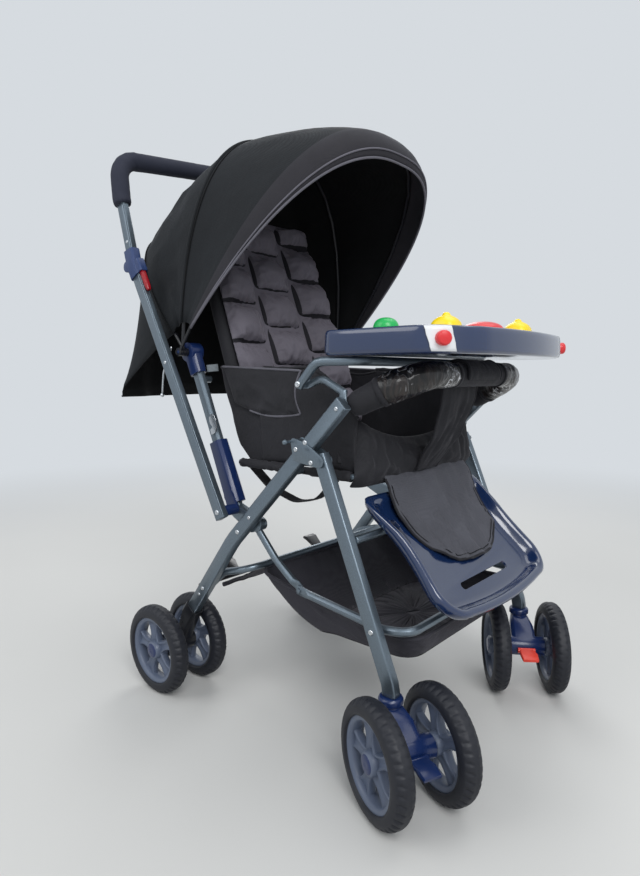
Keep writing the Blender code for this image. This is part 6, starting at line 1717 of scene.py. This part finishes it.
def handlePath():
    plane = 0.2335
    right = [(-plane, 0.311, 0.771), (-plane, 0.346, 0.894), (-(plane - 0.004), 0.360, 0.968)]
    left = [(-x, y, z) for x, y, z in reversed(right)]
    corners = [at(*point) for point in right + [(0, 0.366, 0.996)] + left]
    return evenPath(smoothPath(corners, gripShape["corner"]), 0.004)


def makeGrip():
    path = [point for point in handlePath() if point.z > gripShape["start"]]

    def foam(share, angle):
        seed = Vector((share * 70, math.cos(angle) * 1.2, math.sin(angle) * 1.2))
        pucker = gripShape["puckers"] * (1 - 2 * abs(noise.noise(seed)))
        bend = max(0.0, 1 - abs(share - 0.16) / 0.06) + max(0.0, 1 - abs(share - 0.84) / 0.06)
        end = min(1.0, 0.9 + share * 12, 0.9 + (1 - share) * 12)
        radius = (gripShape["radius"] + pucker * (0.4 + 2.0 * bend)) * end
        return radius * math.cos(angle), radius * math.sin(angle)

    grip = tube("gripFoam", path, foam, gripFoam, 28)
    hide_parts("handle_grip")
    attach(grip, "handle")


makeGrip()
print("handle grip made")

# straps, catches and wires

catchLook = {"wireRadius": 0.0016}


def flatPlate(name, outline, inner, outer, sign, material):
    # an outline of (y, z) points made into a plate that stands across x
    count = len(outline)
    vertices = [at(sign * inner, y, z) for y, z in outline] + [at(sign * outer, y, z) for y, z in outline]
    faces = gridFaces(2, count, True) + [range(count), range(count, 2 * count)]
    piece = makePiece(name, vertices, faces, material, False)
    return bevelled(piece, 0.0004, 2, 40)


def makeCatches():
    for side, sign in sides.items():
        hook = [(0.110, 0.520), (0.118, 0.523), (0.124, 0.516), (0.122, 0.506), (0.115, 0.500), (0.121, 0.494),
                (0.117, 0.486), (0.108, 0.490), (0.104, 0.500), (0.106, 0.512)]
        outline = [(y + 0.020, z - 0.020) for y, z in hook]
        plate = flatPlate(f"hookPlate_{side}", outline, 0.1995, 0.2015, sign, platedSteel)
        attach(plate, "uprights")
        bends = [(0.2140, 0.2300, 0.620), (0.2150, 0.2550, 0.575), (0.2140, 0.2620, 0.536)]
        line = evenPath(smoothPath([at(sign * x, y, z) for x, y, z in bends], 0.02), 0.006)
        wire = tube(f"canopyWire_{side}", line, catchLook["wireRadius"], platedSteel, 10)
        ball = turned(f"wireBall_{side}", [(-0.004, 0), (-0.0028, 0.0028), (0, 0.004), (0.0028, 0.0028), (0.004, 0)],
                      at(sign * 0.2140, 0.2620, 0.533), (0, 0, 1), platedSteel, 16)
        stay = joined(f"canopyWire_{side}", [wire, ball])
        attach(stay, "uprights")


makeCatches()
makeUnderStraps()
print("catches and straps made")

# camera, floor and lights

cameraLook = {"place": (-0.8742, -0.6982, 0.5696), "azimuth": 48.96, "down": 5.89, "lens": 25.09, "sensor": 36.0}


def makeCamera():
    lens = bpy.data.cameras.new("photoCamera")
    lens.sensor_fit = "VERTICAL"
    lens.sensor_height = cameraLook["sensor"]
    lens.lens = cameraLook["lens"]
    lens.clip_start = 0.01
    camera = bpy.data.objects.new("photoCamera", lens)
    bpy.context.scene.collection.objects.link(camera)
    turn, down = math.radians(cameraLook["azimuth"]), math.radians(cameraLook["down"])
    forward = Vector((math.cos(down) * math.sin(turn), math.cos(down) * math.cos(turn), -math.sin(down)))
    camera.location = at(*cameraLook["place"])
    camera.rotation_mode = "QUATERNION"
    camera.rotation_quaternion = forward.to_track_quat("-Z", "Y")
    bpy.context.scene.camera = camera


studio = {"floorColor": (214, 214, 212), "sky": (214, 219, 224), "skyStrength": 0.62,
          "key": 58.0, "fill": 20.0, "rim": 26.0}


def makeFloor():
    material, tree, shader = newMaterial("paleFloor")
    place = addNode(tree, "ShaderNodeTexCoord")
    cloud = addNode(tree, "ShaderNodeTexNoise", {"Scale": 1.5, "Detail": 3.0})
    tone = addNode(tree, "ShaderNodeMix", data_type="RGBA")
    tone.inputs["A"].default_value = fromScreen(*studio["floorColor"])
    tone.inputs["B"].default_value = fromScreen(*[value - 6 for value in studio["floorColor"]])
    reach = addNode(tree, "ShaderNodeVectorMath", operation="LENGTH")
    far = addNode(tree, "ShaderNodeMapRange", {"From Min": 1.1, "From Max": 3.2}, interpolation_type="SMOOTHSTEP")
    fade = addNode(tree, "ShaderNodeMix", data_type="RGBA")
    fade.inputs["B"].default_value = (0, 0, 0, 1)
    glow = addNode(tree, "ShaderNodeMix", data_type="RGBA")
    glow.inputs["A"].default_value = (0, 0, 0, 1)
    glow.inputs["B"].default_value = fromScreen(*studio["sky"])
    linkAll(tree, [(place.outputs["Object"], cloud.inputs["Vector"]), (cloud.outputs[0], tone.inputs["Factor"]),
                   (place.outputs["Object"], reach.inputs[0]), (reach.outputs["Value"], far.inputs["Value"]),
                   (far.outputs[0], fade.inputs["Factor"]), (tone.outputs["Result"], fade.inputs["A"]),
                   (fade.outputs["Result"], shader.inputs["Base Color"]), (far.outputs[0], glow.inputs["Factor"]),
                   (glow.outputs["Result"], shader.inputs["Emission Color"])])
    setShader(shader, {"Roughness": 0.75, "Specular IOR Level": 0.0, "Emission Strength": 1.0})
    steps = 64
    rings = [0.0, 1.5, 4.0, 12.0, 40.0]
    vertices, faces = [(0, 0, 0)], []
    for radius in rings[1:]:
        for k in range(steps):
            angle = math.tau * k / steps
            vertices.append((radius * math.cos(angle), radius * math.sin(angle), 0))
    for k in range(steps):
        faces.append((0, 1 + k, 1 + (k + 1) % steps))
    faces += gridFaces(len(rings) - 1, steps, True, 1)
    floor = makePiece("studioFloor", vertices, faces, material)
    if floor.data.polygons[0].normal.z < 0:
        floor.data.flip_normals()


def areaLight(name, place, target, power, size):
    light = bpy.data.lights.new(name, "AREA")
    light.energy = power
    light.shape = "DISK"
    light.size = size
    lamp = bpy.data.objects.new(name, light)
    bpy.context.scene.collection.objects.link(lamp)
    lamp.location = place
    lamp.rotation_mode = "QUATERNION"
    lamp.rotation_quaternion = (Vector(target) - Vector(place)).to_track_quat("-Z", "Y")


def makeLights():
    world = bpy.data.worlds.new("softRoom")
    world.use_nodes = True
    bpy.context.scene.world = world
    tree = world.node_tree
    back = tree.nodes["Background"]
    back.inputs["Color"].default_value = fromScreen(*studio["sky"])
    back.inputs["Strength"].default_value = studio["skyStrength"]
    seen = addNode(tree, "ShaderNodeBackground")
    seen.inputs["Color"].default_value = fromScreen(*studio["sky"])
    seen.inputs["Strength"].default_value = 1.0
    path = addNode(tree, "ShaderNodeLightPath")
    either = addNode(tree, "ShaderNodeMath", operation="MAXIMUM")
    anyRay = addNode(tree, "ShaderNodeMath", operation="MAXIMUM")
    mixer = addNode(tree, "ShaderNodeMixShader")
    out = next(node for node in tree.nodes if node.type == "OUTPUT_WORLD")
    linkAll(tree, [(path.outputs["Is Camera Ray"], either.inputs[0]),
                   (path.outputs["Is Glossy Ray"], either.inputs[1]), (either.outputs[0], anyRay.inputs[0]),
                   (path.outputs["Is Transmission Ray"], anyRay.inputs[1]),
                   (anyRay.outputs[0], mixer.inputs[0]), (back.outputs[0], mixer.inputs[1]),
                   (seen.outputs[0], mixer.inputs[2]), (mixer.outputs[0], out.inputs[0])])
    middle = at(0, 0, 0.45)
    areaLight("keyLight", at(-1.6, -2.2, 2.4), middle, studio["key"], 1.8)
    areaLight("fillLight", at(-2.3, 1.0, 2.3), middle, studio["fill"], 2.0)
    areaLight("rimLight", at(1.8, 1.6, 2.2), middle, studio["rim"], 1.6)
    areaLight("topLight", at(0.6, -0.4, 3.0), middle, studio["fill"], 2.2)


makeCamera()
makeFloor()
makeLights()
bpy.context.scene.view_settings.view_transform = "Standard"
print("camera, floor and lights set")
